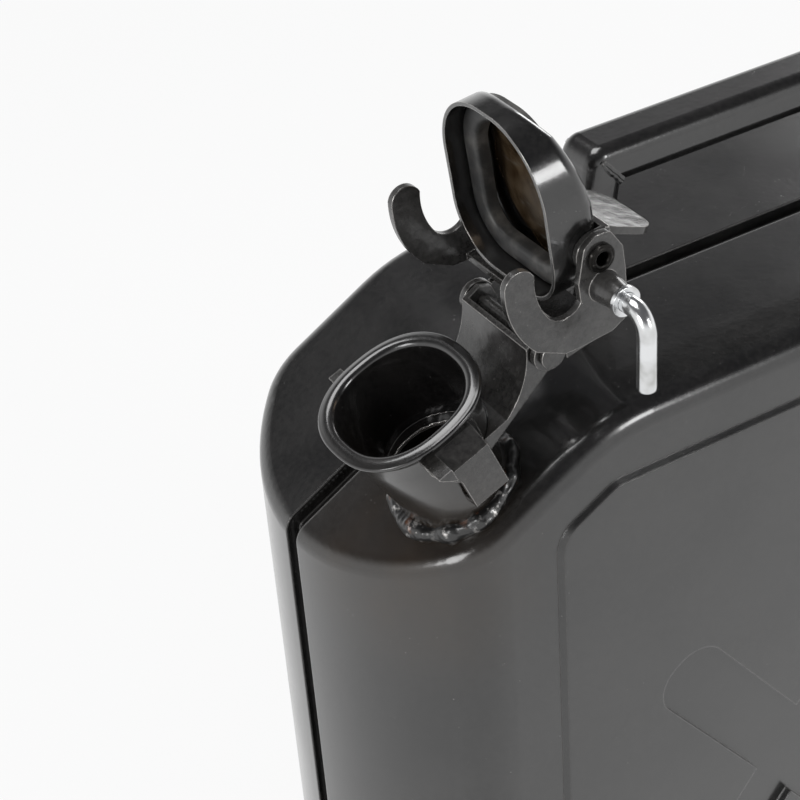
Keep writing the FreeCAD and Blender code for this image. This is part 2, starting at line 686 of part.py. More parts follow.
def lid_form(inset, bottom):
    """Lid dome, drawn in by inset, from the height bottom up."""
    crown = size.lid_crown - inset
    points = [
        (-size.lid_front, bottom), (size.lid_rear, bottom),
        (size.lid_rear, crown - size.lid_rear_drop),
        (size.lid_rear - size.lid_rear_bevel, crown), (-size.lid_crest, crown),
        (-size.lid_front + size.lid_bevel, crown - size.lid_mid_drop),
        (-size.lid_front, crown - size.lid_front_drop),
    ]
    side = 2 * size.lid_half_width
    wire = Part.makePolygon([Vector(x, -side, z) for x, z in points + points[:1]])
    prism = Part.Face(wire).extrude(Vector(0, 2 * side, 0))
    form = prism.common(lid_plan(inset))
    rim = []
    for edge in form.Edges:
        sides = [f for f in form.Faces if any(edge.isSame(e) for e in f.Edges)]
        if len(sides) == 2 and is_wall(sides[0]) != is_wall(sides[1]):
            if edge.CenterOfMass.z > bottom + 0.5:
                rim.append(edge)
    return form.makeFillet(size.lid_edge_round - inset, rim)


def lid_shell():
    outer = lid_form(0, -size.lid_skirt)
    inner = lid_form(size.lid_wall, -size.lid_skirt - 1)
    solid_feature("lid_shell", outer.cut(inner), lid_frame())


def lid_gasket():
    """Rubber ring in the lid with a rounded D opening."""
    seat = size.gasket_gap
    far = 2 * size.lid_front
    inset = size.lid_wall + size.gasket_gap
    slab = Part.makeBox(2 * far, 2 * far, size.gasket_thick, Vector(-far, -far, seat))
    ring = lid_plan(inset).common(slab)
    hole = lid_plan(inset + size.gasket_width)
    ring = ring.cut(hole).common(lid_form(inset, -size.lid_skirt))
    face = [e for e in ring.Edges if abs(e.CenterOfMass.z - seat) < 0.01]
    ring = ring.makeFillet(size.gasket_thick / 4.6, face)
    solid_feature("lid_gasket", ring, lid_frame())


def lid_yoke():
    """Yoke on the lid's back: two legs to the hinge and two ears for the cam pivot."""
    body = new_body("lid_yoke", lid_frame())
    leg = new_sketch(body)
    outline(leg, [
        ("Dims.pivot_s - Dims.yoke_front", "Dims.lid_crown"),
        ("Dims.pivot_s + Dims.yoke_back", "Dims.lid_crown"),
        ("Dims.pivot_s + Dims.yoke_bend_s - 0.75 * Dims.yoke_depth",
         "Dims.pivot_n + Dims.yoke_bend_n - 0.8 * Dims.yoke_depth"),
        ("Dims.pivot_s + Dims.yoke_fall_s - Dims.yoke_depth",
         "Dims.pivot_n + Dims.yoke_fall_n - 0.7 * Dims.yoke_depth"),
        ("Dims.hinge_s - Dims.yoke_depth / 2", "Dims.hinge_n + Dims.boss_radius - 0.4"),
        ("Dims.hinge_s + Dims.boss_radius * 0.8", "Dims.hinge_n + Dims.boss_radius - 0.4"),
        ("Dims.pivot_s + Dims.yoke_fall_s", "Dims.pivot_n + Dims.yoke_fall_n"),
        ("Dims.pivot_s + Dims.yoke_bend_s", "Dims.pivot_n + Dims.yoke_bend_n"),
        ("Dims.pivot_s + Dims.yoke_front", "Dims.lid_crown + Dims.yoke_rise"),
    ])
    pad(body, leg, "2 * (Dims.leg_inner + Dims.leg_wall)")
    boss = new_sketch(body)
    circle(boss, "Dims.hinge_s", "Dims.hinge_n", "Dims.boss_radius")
    pad(body, boss, "2 * (Dims.leg_inner + Dims.leg_wall)")
    gap = new_sketch(body)
    outline(gap, far_corners())
    pocket(body, gap, "2 * Dims.leg_inner")
    ear = new_sketch(body)
    outline(ear, [
        ("Dims.pivot_s - Dims.ear_radius", "Dims.lid_crown + Dims.ear_wall"),
        ("Dims.pivot_s - Dims.ear_radius", "Dims.pivot_n", "Dims.ear_radius + 0.001", 1),
        ("Dims.pivot_s + Dims.ear_radius", "Dims.pivot_n"),
        ("Dims.pivot_s + Dims.ear_radius", "Dims.lid_crown + Dims.ear_wall"),
    ])
    pad(body, ear, "2 * (Dims.ear_inner + Dims.ear_wall)")
    between = new_sketch(body)
    narrow = "Dims.hinge_s - Dims.yoke_clear"
    outline(between, [
        ("-2 * Dims.rim_radius", "-2 * Dims.rim_radius"), (narrow, "-2 * Dims.rim_radius"),
        (narrow, "Dims.lid_crown"), ("-2 * Dims.rim_radius", "Dims.lid_crown"),
    ])
    pocket(body, between, "2 * Dims.ear_inner")
    hole = new_sketch(body)
    circle(hole, "Dims.hinge_s", "Dims.hinge_n", "Dims.hinge_pin_radius + Dims.running_gap")
    circle(hole, "Dims.pivot_s", "Dims.pivot_n", "Dims.rivet_radius + Dims.running_gap")
    pocket(body, hole, "4 * Dims.ear_inner")


def cam_lever():
    """Cam lever bent from one sheet: two hooked side plates, a web, a stem and a paddle."""
    body = new_body("cam_lever", lid_frame())
    s = "Dims.pivot_s"
    n = "Dims.pivot_n"
    bearing = "Dims.bearing_radius"
    outer = "Dims.hook_radius"
    tip = "(Dims.hook_radius - Dims.bearing_radius) / 2 + 0.3"
    back = f"{s} + Dims.web_reach"
    plate = new_sketch(body)
    outline(plate, [
        (f"{s} - {bearing} * sin(Dims.hook_point)", f"{n} - {bearing} * cos(Dims.hook_point)",
         tip, 1),
        (f"{s} - {outer} * sin(Dims.hook_end)", f"{n} - {outer} * cos(Dims.hook_end)",
         outer, 1),
        (f"{s} + {outer} * sin(Dims.hook_heel)", f"{n} - {outer} * cos(Dims.hook_heel)"),
        (f"{back} - Dims.web_high / 2", f"{n} - Dims.web_low - Dims.web_foot"),
        (back, f"{n} - Dims.web_low"),
        (back, f"{n} + Dims.web_high"),
        (f"{s} + Dims.plate_back", f"{n} + Dims.plate_back_n"),
        (f"{s} + Dims.ear_crest", f"{n} + Dims.ear_crest"),
        (s, f"{n} + Dims.ear_crest"),
        (f"{s} - 0.9 * Dims.ear_front", f"{n} + 0.55 * Dims.ear_crest"),
        (f"{s} - Dims.ear_front", f"{n} - 0.06 * Dims.ear_crest"),
        (f"{s} - 0.65 * Dims.ear_front", f"{n} - 0.6 * Dims.ear_low"),
        (f"{s} + Dims.slot_end - 0.9 * Dims.slot_round", f"{n} - Dims.ear_low"),
        (f"{s} + Dims.slot_end", f"{n} - Dims.ear_low", "Dims.slot_round", -1),
        (f"{s} + {bearing} * sin(Dims.hook_root)", f"{n} - {bearing} * cos(Dims.hook_root)",
         bearing, -1),
    ])
    outer_face = "(Dims.ear_inner + Dims.ear_wall + Dims.side_gap + Dims.lever_wall)"
    inner_face = "(Dims.ear_inner + Dims.ear_wall + Dims.side_gap)"
    solid = pad(body, plate, f"2 * {outer_face}")
    corners = [(size.plate_back, size.plate_back_n), (0, size.ear_crest),
               (-0.9 * size.ear_front, 0.55 * size.ear_crest),
               (-size.ear_front, -0.06 * size.ear_crest),
               (-0.65 * size.ear_front, -0.6 * size.ear_low),
               (size.slot_end - 0.9 * size.slot_round, -size.ear_low)]
    spots = [Vector(size.pivot_s + a, 0, size.pivot_n + b) for a, b in corners]
    solid = fillet(body, solid, "Dims.ear_round", lambda e: along_y(e) and any(
        math.hypot(e.CenterOfMass.x - p.x, e.CenterOfMass.z - p.z) < 0.01 for p in spots))
    inside = new_sketch(body)
    far = "4 * Dims.rim_radius"
    outline(inside, [
        (f"-{far}", f"-{far}"), (far, f"-{far}"), (far, f"{n} - Dims.web_low"),
        (f"{s} + Dims.web_front", f"{n} - Dims.web_low"),
        (f"{s} + Dims.web_front", f"{n} + Dims.web_high"),
        (far, f"{n} + Dims.web_high"), (far, far), (f"-{far}", far),
    ])
    pocket(body, inside, f"2 * {inner_face}")
    stem = new_sketch(body)
    wall = "Dims.lever_wall"
    outline(stem, [
        (back, f"{n} - {wall}"),
        (back, f"{n} + 1.8 * {wall}"),
        (f"{s} + Dims.stem_far + 2.6 * {wall}", f"{n} + Dims.stem_rise - 2.8 * {wall}"),
        (f"{s} + Dims.stem_far", f"{n} + Dims.stem_rise - 0.3 * {wall}"),
        (f"{s} + Dims.stem_near + 0.3 * {wall}", f"{n} + Dims.stem_rise + 0.3 * {wall}"),
        (f"{s} + Dims.stem_near - 0.2 * {wall}", f"{n} + Dims.stem_rise - 0.6 * {wall}"),
        (f"{s} + Dims.stem_far - 0.5 * {wall}", f"{n} + Dims.stem_rise - 1.15 * {wall}"),
        (f"{s} + Dims.stem_far + 1.7 * {wall}", f"{n} + Dims.stem_rise - 3.3 * {wall}"),
        (f"{s} + Dims.web_front", f"{n} + 1.6 * {wall}"),
        (f"{s} + Dims.web_front", f"{n} - {wall}"),
    ])
    pad(body, stem, "2 * Dims.stem_half")
    paddle = new_sketch(body)
    root = (f"{s} + Dims.paddle_s", f"{n} + Dims.paddle_n")
    outline(paddle, [
        (f"{root[0]} - {wall} / 2", f"{root[1]} + {wall} / 4"),
        (f"{root[0]} + {wall} / 2", f"{root[1]} - {wall} / 4"),
        (f"{root[0]} + Dims.paddle_run + {wall} / 2",
         f"{root[1]} + Dims.paddle_reach - {wall} / 4"),
        (f"{root[0]} + Dims.paddle_run - {wall} / 2",
         f"{root[1]} + Dims.paddle_reach + {wall} / 4"),
    ])
    solid = pad(body, paddle, "2 * Dims.paddle_half")
    base = size.pivot_n + size.paddle_n
    fillet(body, solid, "Dims.paddle_round", lambda e: e.Curve.TypeId == "Part::GeomLine"
           and e.Length < 1.3 * size.lever_wall and e.CenterOfMass.z > base - size.lever_wall
           and abs(abs(e.CenterOfMass.y) - size.paddle_half) < 0.01)
    collar = new_sketch(body, lift=outer_face + " - 0.2")
    circle(collar, f"{s} + Dims.pin_drop", n, "Dims.collar_radius")
    cone = pad(body, collar, "Dims.collar_length + 0.2", symmetric=False)
    cone.setExpression("TaperAngle",
                       "-atan((Dims.collar_radius - Dims.collar_tip) / Dims.collar_length)")
    document.recompute()
    hole = new_sketch(body)
    circle(hole, s, n, "Dims.rivet_radius + Dims.running_gap")
    pocket(body, hole, f"3 * {outer_face}")
    bore = new_sketch(body)
    circle(bore, f"{s} + Dims.pin_drop", n, "Dims.pin_radius + Dims.running_gap")
    pocket(body, bore, f"3 * {outer_face}", symmetric=False, flip=True)


def pivot_rivets():
    """Hollow rivets on which the lever turns, one on each side of the lid."""
    place = lid_frame()
    place.move(lid_frame().Rotation.multVec(Vector(size.pivot_s, 0, size.pivot_n)))
    for name, side in (("pivot_rivet_left", "-1"), ("pivot_rivet_right", "1")):
        body = new_body(name, place)
        sketch = new_sketch(body, "XY_Plane")
        start = f"{side} * Dims.ear_inner"
        seat = ("(Dims.ear_inner + Dims.ear_wall + Dims.side_gap + Dims.lever_wall"
                " + Dims.side_gap)")
        outline(sketch, [
            ("Dims.rivet_bore", start),
            ("Dims.rivet_radius", start),
            ("Dims.rivet_radius", f"{side} * {seat}"),
            ("Dims.rivet_head", f"{side} * {seat}"),
            ("Dims.rivet_head - 0.3", f"{side} * ({seat} + Dims.head_thick * 0.7)"),
            ("Dims.rivet_head - 1.2", f"{side} * ({seat} + Dims.head_thick)"),
            ("Dims.rivet_bore + 1", f"{side} * ({seat} + Dims.head_thick)"),
            ("Dims.rivet_bore", f"{side} * ({seat} + Dims.head_thick * 0.2)"),
        ])
        revolve(body, sketch)


def pin_place():
    """Axis of the locking pin in the can's frame, with its leg hanging plumb."""
    spot = lid_frame().multVec(Vector(size.pivot_s + size.pin_drop, 0, size.pivot_n))
    return FreeCAD.Placement(spot, FreeCAD.Rotation())


def locking_pin():
    body = new_body("locking_pin", pin_place())
    section = new_sketch(body, lift="Dims.pin_start")
    circle(section, "0", "0", "Dims.pin_radius")
    way = new_sketch(body, "YZ_Plane")
    outline(way, [
        ("-Dims.pin_start", "0"),
        ("-Dims.pin_bend_at + Dims.pin_bend_radius", "0", "Dims.pin_bend_radius", 1),
        ("-Dims.pin_bend_at", "-Dims.pin_bend_radius"),
        ("-Dims.pin_bend_at", "-Dims.pin_leg"),
    ], closed=False)
    rod = body.newObject("PartDesign::AdditivePipe", "rod")
    rod.Profile = section
    rod.Spine = (way, ["Edge1", "Edge2", "Edge3"])
    document.recompute()


def pin_clip():
    body = new_body("pin_clip", pin_place())
    start = ("Dims.ear_inner + Dims.ear_wall + 1.5 * Dims.side_gap + Dims.lever_wall"
             " + Dims.collar_length")
    sketch = new_sketch(body, lift=start)
    circle(sketch, "0", "0", "Dims.clip_radius")
    circle(sketch, "0", "0", "Dims.pin_radius + Dims.running_gap")
    pad(body, sketch, "Dims.clip_thick", symmetric=False)


def catch(name, side):
    """Bent strip on the spout's side with the lug that the lever's hook draws under."""
    body = new_body(name, neck_frame())
    strip = new_sketch(body, "YZ_Plane", "-Dims.catch_front")
    face = "Dims.catch_face"
    back = "(Dims.catch_face - Dims.catch_wall)"
    wall = "(Dims.neck_radius - Dims.catch_root)"
    top = "-Dims.rim_roll - 0.6"
    outline(strip, [
        (f"{side} * {wall}", top),
        (f"{side} * ({wall} + Dims.catch_lap)", top),
        (f"{side} * {face}", "-Dims.catch_high"),
        (f"{side} * {face}", "-Dims.catch_low"),
        (f"{side} * {wall}", "-Dims.catch_foot"),
        (f"{side} * {wall}", "-Dims.catch_foot + 1.2 * Dims.catch_wall"),
        (f"{side} * {back}", "-Dims.catch_low + 0.7 * Dims.catch_wall"),
        (f"{side} * {back}", "-Dims.catch_high - 0.6 * Dims.catch_wall"),
        (f"{side} * ({wall} + 0.9 * Dims.catch_lap)", f"{top} - 1.1 * Dims.catch_wall"),
        (f"{side} * {wall}", f"{top} - 1.1 * Dims.catch_wall"),
    ])
    pad(body, strip, "Dims.catch_length", symmetric=False)
    clear = new_sketch(body)
    before = "-2 * Dims.catch_front"
    outline(clear, [
        (before, "-2 * Dims.catch_foot"), ("-Dims.catch_notch", "-2 * Dims.catch_foot"),
        ("-Dims.catch_notch", "-Dims.catch_notch_n"),
        ("-Dims.catch_front", "-0.8 * Dims.catch_high"), (before, "-0.8 * Dims.catch_high"),
    ])
    pocket(body, clear, "4 * Dims.lug_reach")
    lug = new_sketch(body, lift=f"{side} * -Dims.neck_radius")
    reach = "Dims.lug_radius"
    front = "(Dims.pivot_s + Dims.catch_front)"
    rear = "(Dims.pivot_s + Dims.catch_front - Dims.lug_length)"
    under = "Dims.pivot_n - sqrt({0} * {0} - {1} * {1})"
    outline(lug, [
        ("-Dims.catch_front", under.format(reach, front), reach, 1),
        ("Dims.lug_length - Dims.catch_front", under.format(reach, rear)),
        ("Dims.lug_length - Dims.catch_front", top),
        ("-Dims.catch_front", top),
    ])
    pad(body, lug, "Dims.lug_reach - Dims.neck_radius", symmetric=False, flip=side > 0)
    seat_on_neck(body)


def rounded_section(sketch, centre, length, width, corner):
    """Rounded rectangle in the sketch about (centre, 0)."""
    x0 = f"{centre} - {length} / 2"
    x1 = f"{centre} + {length} / 2"
    y0 = f"-{width} / 2"
    y1 = f"{width} / 2"
    outline(sketch, [
        (f"{x0} + {corner}", y0), (f"{x1} - {corner}", y0, corner, 1),
        (x1, f"{y0} + {corner}"), (x1, f"{y1} - {corner}", corner, 1),
        (f"{x1} - {corner}", y1), (f"{x0} + {corner}", y1, corner, 1),
        (x0, f"{y1} - {corner}"), (x0, f"{y0} + {corner}", corner, 1),
    ])


def handle():
    """Carrying handle, a box tube bent sharply at its corners, over the seam."""
    body = new_body("handle_tube")
    axis = "Dims.handle_top - Dims.handle_deep / 2"
    lean = f"({axis} - Dims.can_height) * tan(Dims.handle_lean)"
    front = "(Dims.handle_front_set - Dims.can_length / 2)"
    rear = "(Dims.can_length / 2 - Dims.handle_rear_set)"
    way = new_sketch(body)
    below = "Dims.can_height - 3"
    drift = "3 * tan(Dims.handle_lean)"
    outline(way, [
        (f"{front} - {drift}", below),
        (f"{front} + {lean}", axis),
        (f"{rear} - {lean}", axis),
        (f"{rear} + {drift}", below),
    ], closed=False)
    for kind, shrink in (("PartDesign::AdditivePipe", "0"),
                         ("PartDesign::SubtractivePipe", "Dims.handle_wall")):
        section = new_sketch(body, "XY_Plane", below)
        rounded_section(section, f"({front} - {drift})", f"(Dims.handle_deep - 2 * {shrink})",
                        f"(Dims.handle_wide - 2 * {shrink})", f"(Dims.handle_round - {shrink})")
        tube = body.newObject(kind, "tube")
        tube.Profile = section
        tube.Spine = (way, ["Edge1", "Edge2", "Edge3"])
        tube.Transition = "Round corner"
        document.recompute()
    seat = new_sketch(body, "XY_Plane", "Dims.can_height")
    rounded_section(seat, f"({front} + {rear}) / 2", "Dims.can_length",
                    "(2 * Dims.handle_wide)", "Dims.handle_round")
    pocket(body, seat, "Dims.handle_deep", symmetric=False)
    for name, spot in (("handle_weld_front", front), ("handle_weld_rear", rear)):
        body = new_body(name)
        outer = new_sketch(body, "XY_Plane", "Dims.can_height")
        rounded_section(outer, spot, "(Dims.handle_deep + 2 * Dims.foot_weld)",
                        "(Dims.handle_wide + 2 * Dims.foot_weld)",
                        "(Dims.handle_round + Dims.foot_weld)")
        bead = pad(body, outer, "Dims.foot_weld", symmetric=False)
        bead.TaperAngle = -38
        inner = new_sketch(body, "XY_Plane", "Dims.can_height")
        rounded_section(inner, spot, "(Dims.handle_deep + 1.4)",
                        "(Dims.handle_wide + 0.1)", "Dims.handle_round")
        pocket(body, inner, "Dims.foot_weld * 2", symmetric=False, flip=True)


def report_states():
    for item in document.Objects:
        bad = [s for s in item.State if s in ("Invalid", "Error")]
        if bad:
            raise ValueError(f"{item.Name} is {bad}")


body_halves()
seam_weld()
neck_tube()
neck_weld(stepped_form(0))
saddle()
hinge_pin()
lid_shell()
lid_gasket()
lid_yoke()
cam_lever()
pivot_rivets()
locking_pin()
pin_clip()
catch("catch_left", LEFT)
catch("catch_right", RIGHT)
handle()
document.recompute()
report_states()

os.makedirs("parts", exist_ok=True)
for item in document.Objects:
    if item.TypeId not in ("PartDesign::Body", "Part::Feature"):
        continue
    shape = item.Shape
    if shape.isNull() or not shape.isValid():
        raise ValueError(f"{item.Label} has no valid shape")
    shape.exportStep(f"parts/{item.Label}.step")
    print(item.Label, len(shape.Solids), round(shape.Volume, 1))
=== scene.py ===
import math

import bmesh
import bpy
from mathutils import Matrix, Vector, noise


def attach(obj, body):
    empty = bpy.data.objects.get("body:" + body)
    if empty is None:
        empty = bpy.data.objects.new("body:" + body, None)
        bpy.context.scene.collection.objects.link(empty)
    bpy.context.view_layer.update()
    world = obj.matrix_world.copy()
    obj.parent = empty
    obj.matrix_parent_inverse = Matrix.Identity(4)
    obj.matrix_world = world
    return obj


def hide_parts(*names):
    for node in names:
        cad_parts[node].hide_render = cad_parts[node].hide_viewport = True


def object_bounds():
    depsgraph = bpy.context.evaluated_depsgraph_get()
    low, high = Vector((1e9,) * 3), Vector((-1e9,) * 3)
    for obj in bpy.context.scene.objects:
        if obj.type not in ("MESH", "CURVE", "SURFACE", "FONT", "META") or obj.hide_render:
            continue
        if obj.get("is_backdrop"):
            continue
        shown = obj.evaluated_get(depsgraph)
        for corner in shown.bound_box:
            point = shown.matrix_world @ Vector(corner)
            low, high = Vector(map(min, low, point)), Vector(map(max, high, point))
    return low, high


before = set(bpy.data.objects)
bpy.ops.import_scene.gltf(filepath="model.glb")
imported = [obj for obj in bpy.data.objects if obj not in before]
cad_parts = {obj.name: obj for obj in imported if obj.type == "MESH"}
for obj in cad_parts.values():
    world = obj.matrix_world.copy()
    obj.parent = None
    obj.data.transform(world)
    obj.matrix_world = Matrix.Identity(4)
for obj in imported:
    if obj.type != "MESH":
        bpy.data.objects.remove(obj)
cad_low, cad_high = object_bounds()


# Body halves: two deep-drawn sheet pressings with a raised side panel and a
# cross pressed into it, sprayed as one can in a semi-gloss black enamel that
# has a slight orange peel, fine dust nibs and edges rubbed down to the steel,
# their bright lines partly a painted highlight.
MILLIMETRE = 0.001


class Link:
    """A shader socket that takes part in sums; each sign adds the node it stands for."""

    def __init__(self, finish, socket):
        self.finish = finish
        self.socket = socket

    def maths(self, operation, first, second):
        return self.finish.node("ShaderNodeMath", {"operation": operation}, {0: first, 1: second})

    def __add__(self, other):
        return self.maths("ADD", self, other)

    def __radd__(self, other):
        return self.maths("ADD", other, self)

    def __sub__(self, other):
        return self.maths("SUBTRACT", self, other)

    def __rsub__(self, other):
        return self.maths("SUBTRACT", other, self)

    def __mul__(self, other):
        return self.maths("MULTIPLY", self, other)

    def __rmul__(self, other):
        return self.maths("MULTIPLY", other, self)

    def __pow__(self, other):
        return self.maths("POWER", self, other)

    def maximum(self, other):
        return self.maths("MAXIMUM", self, other)


class Shading:
    """A node tree whose nodes all come from its node method."""

    def __init__(self, owner):
        owner.use_nodes = True
        self.tree = owner.node_tree

    def node(self, kind, settings=None, inputs=None, output=0):
        """Adds a node with those settings and inputs, and gives the named output."""
        made = self.tree.nodes.new(kind)
        for label, value in (settings or {}).items():
            setattr(made, label, value)
        for label, value in (inputs or {}).items():
            self.feed(made.inputs[label], value)
        return Link(self, made.outputs[output])

    def feed(self, socket, value):
        """Links a varying value to the socket, or writes a plain one there."""
        if isinstance(value, Link):
            self.tree.links.new(value.socket, socket)
        else:
            socket.default_value = value

    def between(self, value, low, high):
        """0 below low, 1 above high, with a smooth step between."""
        settings = {"interpolation_type": "SMOOTHSTEP", "clamp": True}
        inputs = {"Value": value, "From Min": low, "From Max": high}
        return self.node("ShaderNodeMapRange", settings, inputs)

    def mix(self, share, first, second):
        """The first colour where share is 0 and the second where it is 1."""
        settings = {"data_type": "RGBA", "clamp_factor": True}
        return self.node("ShaderNodeMix", settings, {0: share, 6: first, 7: second}, output=2)

    def seen(self):
        """1 for the rays that show the backdrop itself: to the eye, in metal and through glass."""
        eye = self.node("ShaderNodeLightPath", output="Is Camera Ray")
        mirror = self.node("ShaderNodeLightPath", output="Is Glossy Ray")
        glass = self.node("ShaderNodeLightPath", output="Is Transmission Ray")
        return eye.maximum(mirror).maximum(glass)


class Finish(Shading):
    """One surface finish: a material on the Principled shader, rounded a little at its edges."""

    def __init__(self, name, sockets=None, edge=0.0004):
        self.material = bpy.data.materials.new(name)
        super().__init__(self.material)
        self.shader = self.tree.nodes["Principled BSDF"]
        self.place = self.node("ShaderNodeTexCoord", output="Object")
        self.rounded = self.node("ShaderNodeBevel", {"samples": 6}, {"Radius": edge})
        for label, value in (sockets or {}).items():
            self.feed(self.shader.inputs[label], value)

    def grain(self, scale, detail=2.0, rough=0.5, place=None):
        """Soft noise, 0 to 1, with that many lumps to the metre."""
        inputs = {"Vector": place or self.place, "Scale": scale, "Detail": detail, "Roughness": rough}
        return self.node("ShaderNodeTexNoise", None, inputs)

    def stretched(self, along, factor):
        """The place squeezed along that direction, so that grain read there runs in streaks."""
        flat = self.reach(Vector((0, 0, 0)), along)
        back = self.vector("SCALE", along, flat * (1 - factor))
        return self.vector("SUBTRACT", self.place, back)

    def vector(self, operation, first, second, output="Vector"):
        """Vector Math; SCALE takes its factor as second, by that socket's own name."""
        label = "Scale" if operation == "SCALE" else 1
        return self.node("ShaderNodeVectorMath", {"operation": operation}, {0: first, label: second}, output)

    def reach(self, start, along):
        """Metres from start in the direction along."""
        away = self.vector("SUBTRACT", self.place, start)
        return self.vector("DOT_PRODUCT", away, along, output="Value")

    def distance(self, spot):
        """Metres from that spot."""
        return self.vector("DISTANCE", self.place, spot, output="Value")

    def off_axis(self, start, along):
        """Metres from the line through start in the direction along."""
        return (self.distance(start) ** 2 - self.reach(start, along) ** 2) ** 0.5

    def edges(self):
        """1 on sharp outer and inner edges, 0 on plain faces."""
        plain = self.node("ShaderNodeNewGeometry", output="Normal")
        return 1 - self.vector("DOT_PRODUCT", self.rounded, plain, output="Value")

    def relief(self, height):
        """Raises the shading by that height map, in millimetres."""
        inputs = {"Height": height, "Distance": MILLIMETRE, "Normal": self.rounded}
        self.feed(self.shader.inputs["Normal"], self.node("ShaderNodeBump", None, inputs))


ENAMEL_BLACK = (0.0045, 0.0044, 0.0044, 1)
ENAMEL_DUSTY = (0.016, 0.0153, 0.0148, 1)
ENAMEL_WARM = (0.030, 0.019, 0.010, 1)
ENAMEL_TONES = (ENAMEL_BLACK, ENAMEL_DUSTY)
BLACKENED_TONES = ((0.020, 0.019, 0.0185, 1), (0.052, 0.050, 0.048, 1))
# Bright steel for the edges, partly rubbed wear and partly a painted highlight; dust nibs take half of it.
RUBBED_STEEL_AND_HIGHLIGHT = (0.55, 0.53, 0.51, 1)
ENAMEL_SHINE = {"IOR": 1.62, "Coat Roughness": 0.08}
ENAMEL_ROUGHNESS = 0.20
WELD_HEAT = Vector((-0.125, -0.045, 0.280))

# Lumps to the metre of each kind of mark in the enamel.
CLOUD_GRAIN = 26
FLECK_GRAIN = 520
NIB_GRAIN = 1700
NIB_PATCH_GRAIN = 70
EDGE_WEAR_AND_HIGHLIGHT_GRAIN = 420
WARM_GRAIN = 60
DULL_GRAIN = 300
PEEL_GRAIN = 560
SAG_GRAIN = 11
BEATEN_GRAIN = 150

# Heights of those marks, in millimetres.
PEEL_HIGH = 0.030
NIB_HIGH = 0.04

# The spout: its mouth, its foot on the shoulder, and the directions to the
# rear along the mouth, out of the mouth and square to the shoulder.
SPOUT_LEAN = math.radians(22.5)
SHOULDER_SLOPE = math.radians(29.2)
SPOUT_MOUTH = Vector((-0.117, -0.034, 0.334))
SPOUT_FOOT = Vector((-0.10128, -0.034, 0.29605))
SPOUT_ALONG = Vector((math.cos(SPOUT_LEAN), 0, math.sin(SPOUT_LEAN)))
SPOUT_UP = Vector((-math.sin(SPOUT_LEAN), 0, math.cos(SPOUT_LEAN)))
SHOULDER_UP = Vector((-math.sin(SHOULDER_SLOPE), 0, math.cos(SHOULDER_SLOPE)))
ACROSS = Vector((0, 1, 0))

# The spout's inner collar: how wide it opens, and where its edge lies under the mouth.
COLLAR_EDGE = 15.5 * MILLIMETRE
COLLAR_CREST = -31.8 * MILLIMETRE


def enamel(name, peel=1.0, edge_rub_and_highlight=0.5, sag=0.0, beaten=0.0, ledge=False, edge=0.0004,
           tones=ENAMEL_TONES, coat=0.5):
    """Sprayed black enamel: peel is its orange peel, edge_rub_and_highlight how bare and bright
    its edges are (partly rubbed steel, partly a painted highlight), sag the long waves and beaten
    the hammer marks under it, in millimetres. A ledge is the spout's bright inner collar; edge
    rounds the edges, tones are its two colours and coat its clear gloss."""
    made = Finish(name, ENAMEL_SHINE, edge)
    cloud = made.grain(CLOUD_GRAIN, 3)
    fleck = made.grain(FLECK_GRAIN, 4, 0.65)
    nib_patch = made.between(made.grain(NIB_PATCH_GRAIN), 0.45, 0.6)
    nib = made.between(made.grain(NIB_GRAIN, 1), 0.775, 0.80) * nib_patch
    # Sharp edges turn bright bare steel: partly real rubbing, partly a painted highlight along the edges.
    edge_wear_and_highlight = made.edges() * (0.3 + 1.2 * made.grain(EDGE_WEAR_AND_HIGHLIGHT_GRAIN, 3))
    bare_steel_and_highlight = made.between(edge_wear_and_highlight, 0.05, 0.22) * edge_rub_and_highlight
    if ledge:
        off = made.off_axis(SPOUT_FOOT, SPOUT_UP)
        inside = 1 - made.between(off, COLLAR_EDGE, COLLAR_EDGE + 0.3 * MILLIMETRE)
        level = made.reach(SPOUT_MOUTH, SPOUT_UP)
        crest = made.between(level, COLLAR_CREST, COLLAR_CREST + 0.5 * MILLIMETRE)
        bare_steel_and_highlight = bare_steel_and_highlight.maximum(inside * crest)
    colour = made.mix(made.between(0.5 * cloud + 0.5 * fleck, 0.36, 0.64), *tones)
    warmth = (1 - made.between(made.distance(WELD_HEAT), 0.01, 0.055)) * made.grain(WARM_GRAIN)
    colour = made.mix(warmth, colour, ENAMEL_WARM)
    colour = made.mix(nib * 0.5, colour, RUBBED_STEEL_AND_HIGHLIGHT)
    made.colour = made.mix(bare_steel_and_highlight, colour, RUBBED_STEEL_AND_HIGHLIGHT)
    made.metal = bare_steel_and_highlight * 0.9
    made.feed(made.shader.inputs["Base Color"], made.colour)
    made.feed(made.shader.inputs["Metallic"], made.metal)
    dullness = 0.14 * (cloud - 0.5) + 0.05 * made.grain(DULL_GRAIN)
    made.feed(made.shader.inputs["Roughness"], ENAMEL_ROUGHNESS + dullness)
    made.feed(made.shader.inputs["Coat Weight"], coat)
    spray = PEEL_HIGH * peel * made.grain(PEEL_GRAIN, 2, 0.4) + NIB_HIGH * nib
    made.relief(spray + sag * made.grain(SAG_GRAIN, 1) + beaten * made.grain(BEATEN_GRAIN, 1))
    return made


def paint(finish, *names):
    """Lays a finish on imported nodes."""
    for name in names:
        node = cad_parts[name]
        node.data.materials.clear()
        node.data.materials.append(finish.material)


body_enamel = enamel("body_enamel", sag=1.0, edge_rub_and_highlight=0.2, edge=0.0012)
paint(body_enamel, "body_left_half", "body_right_half")


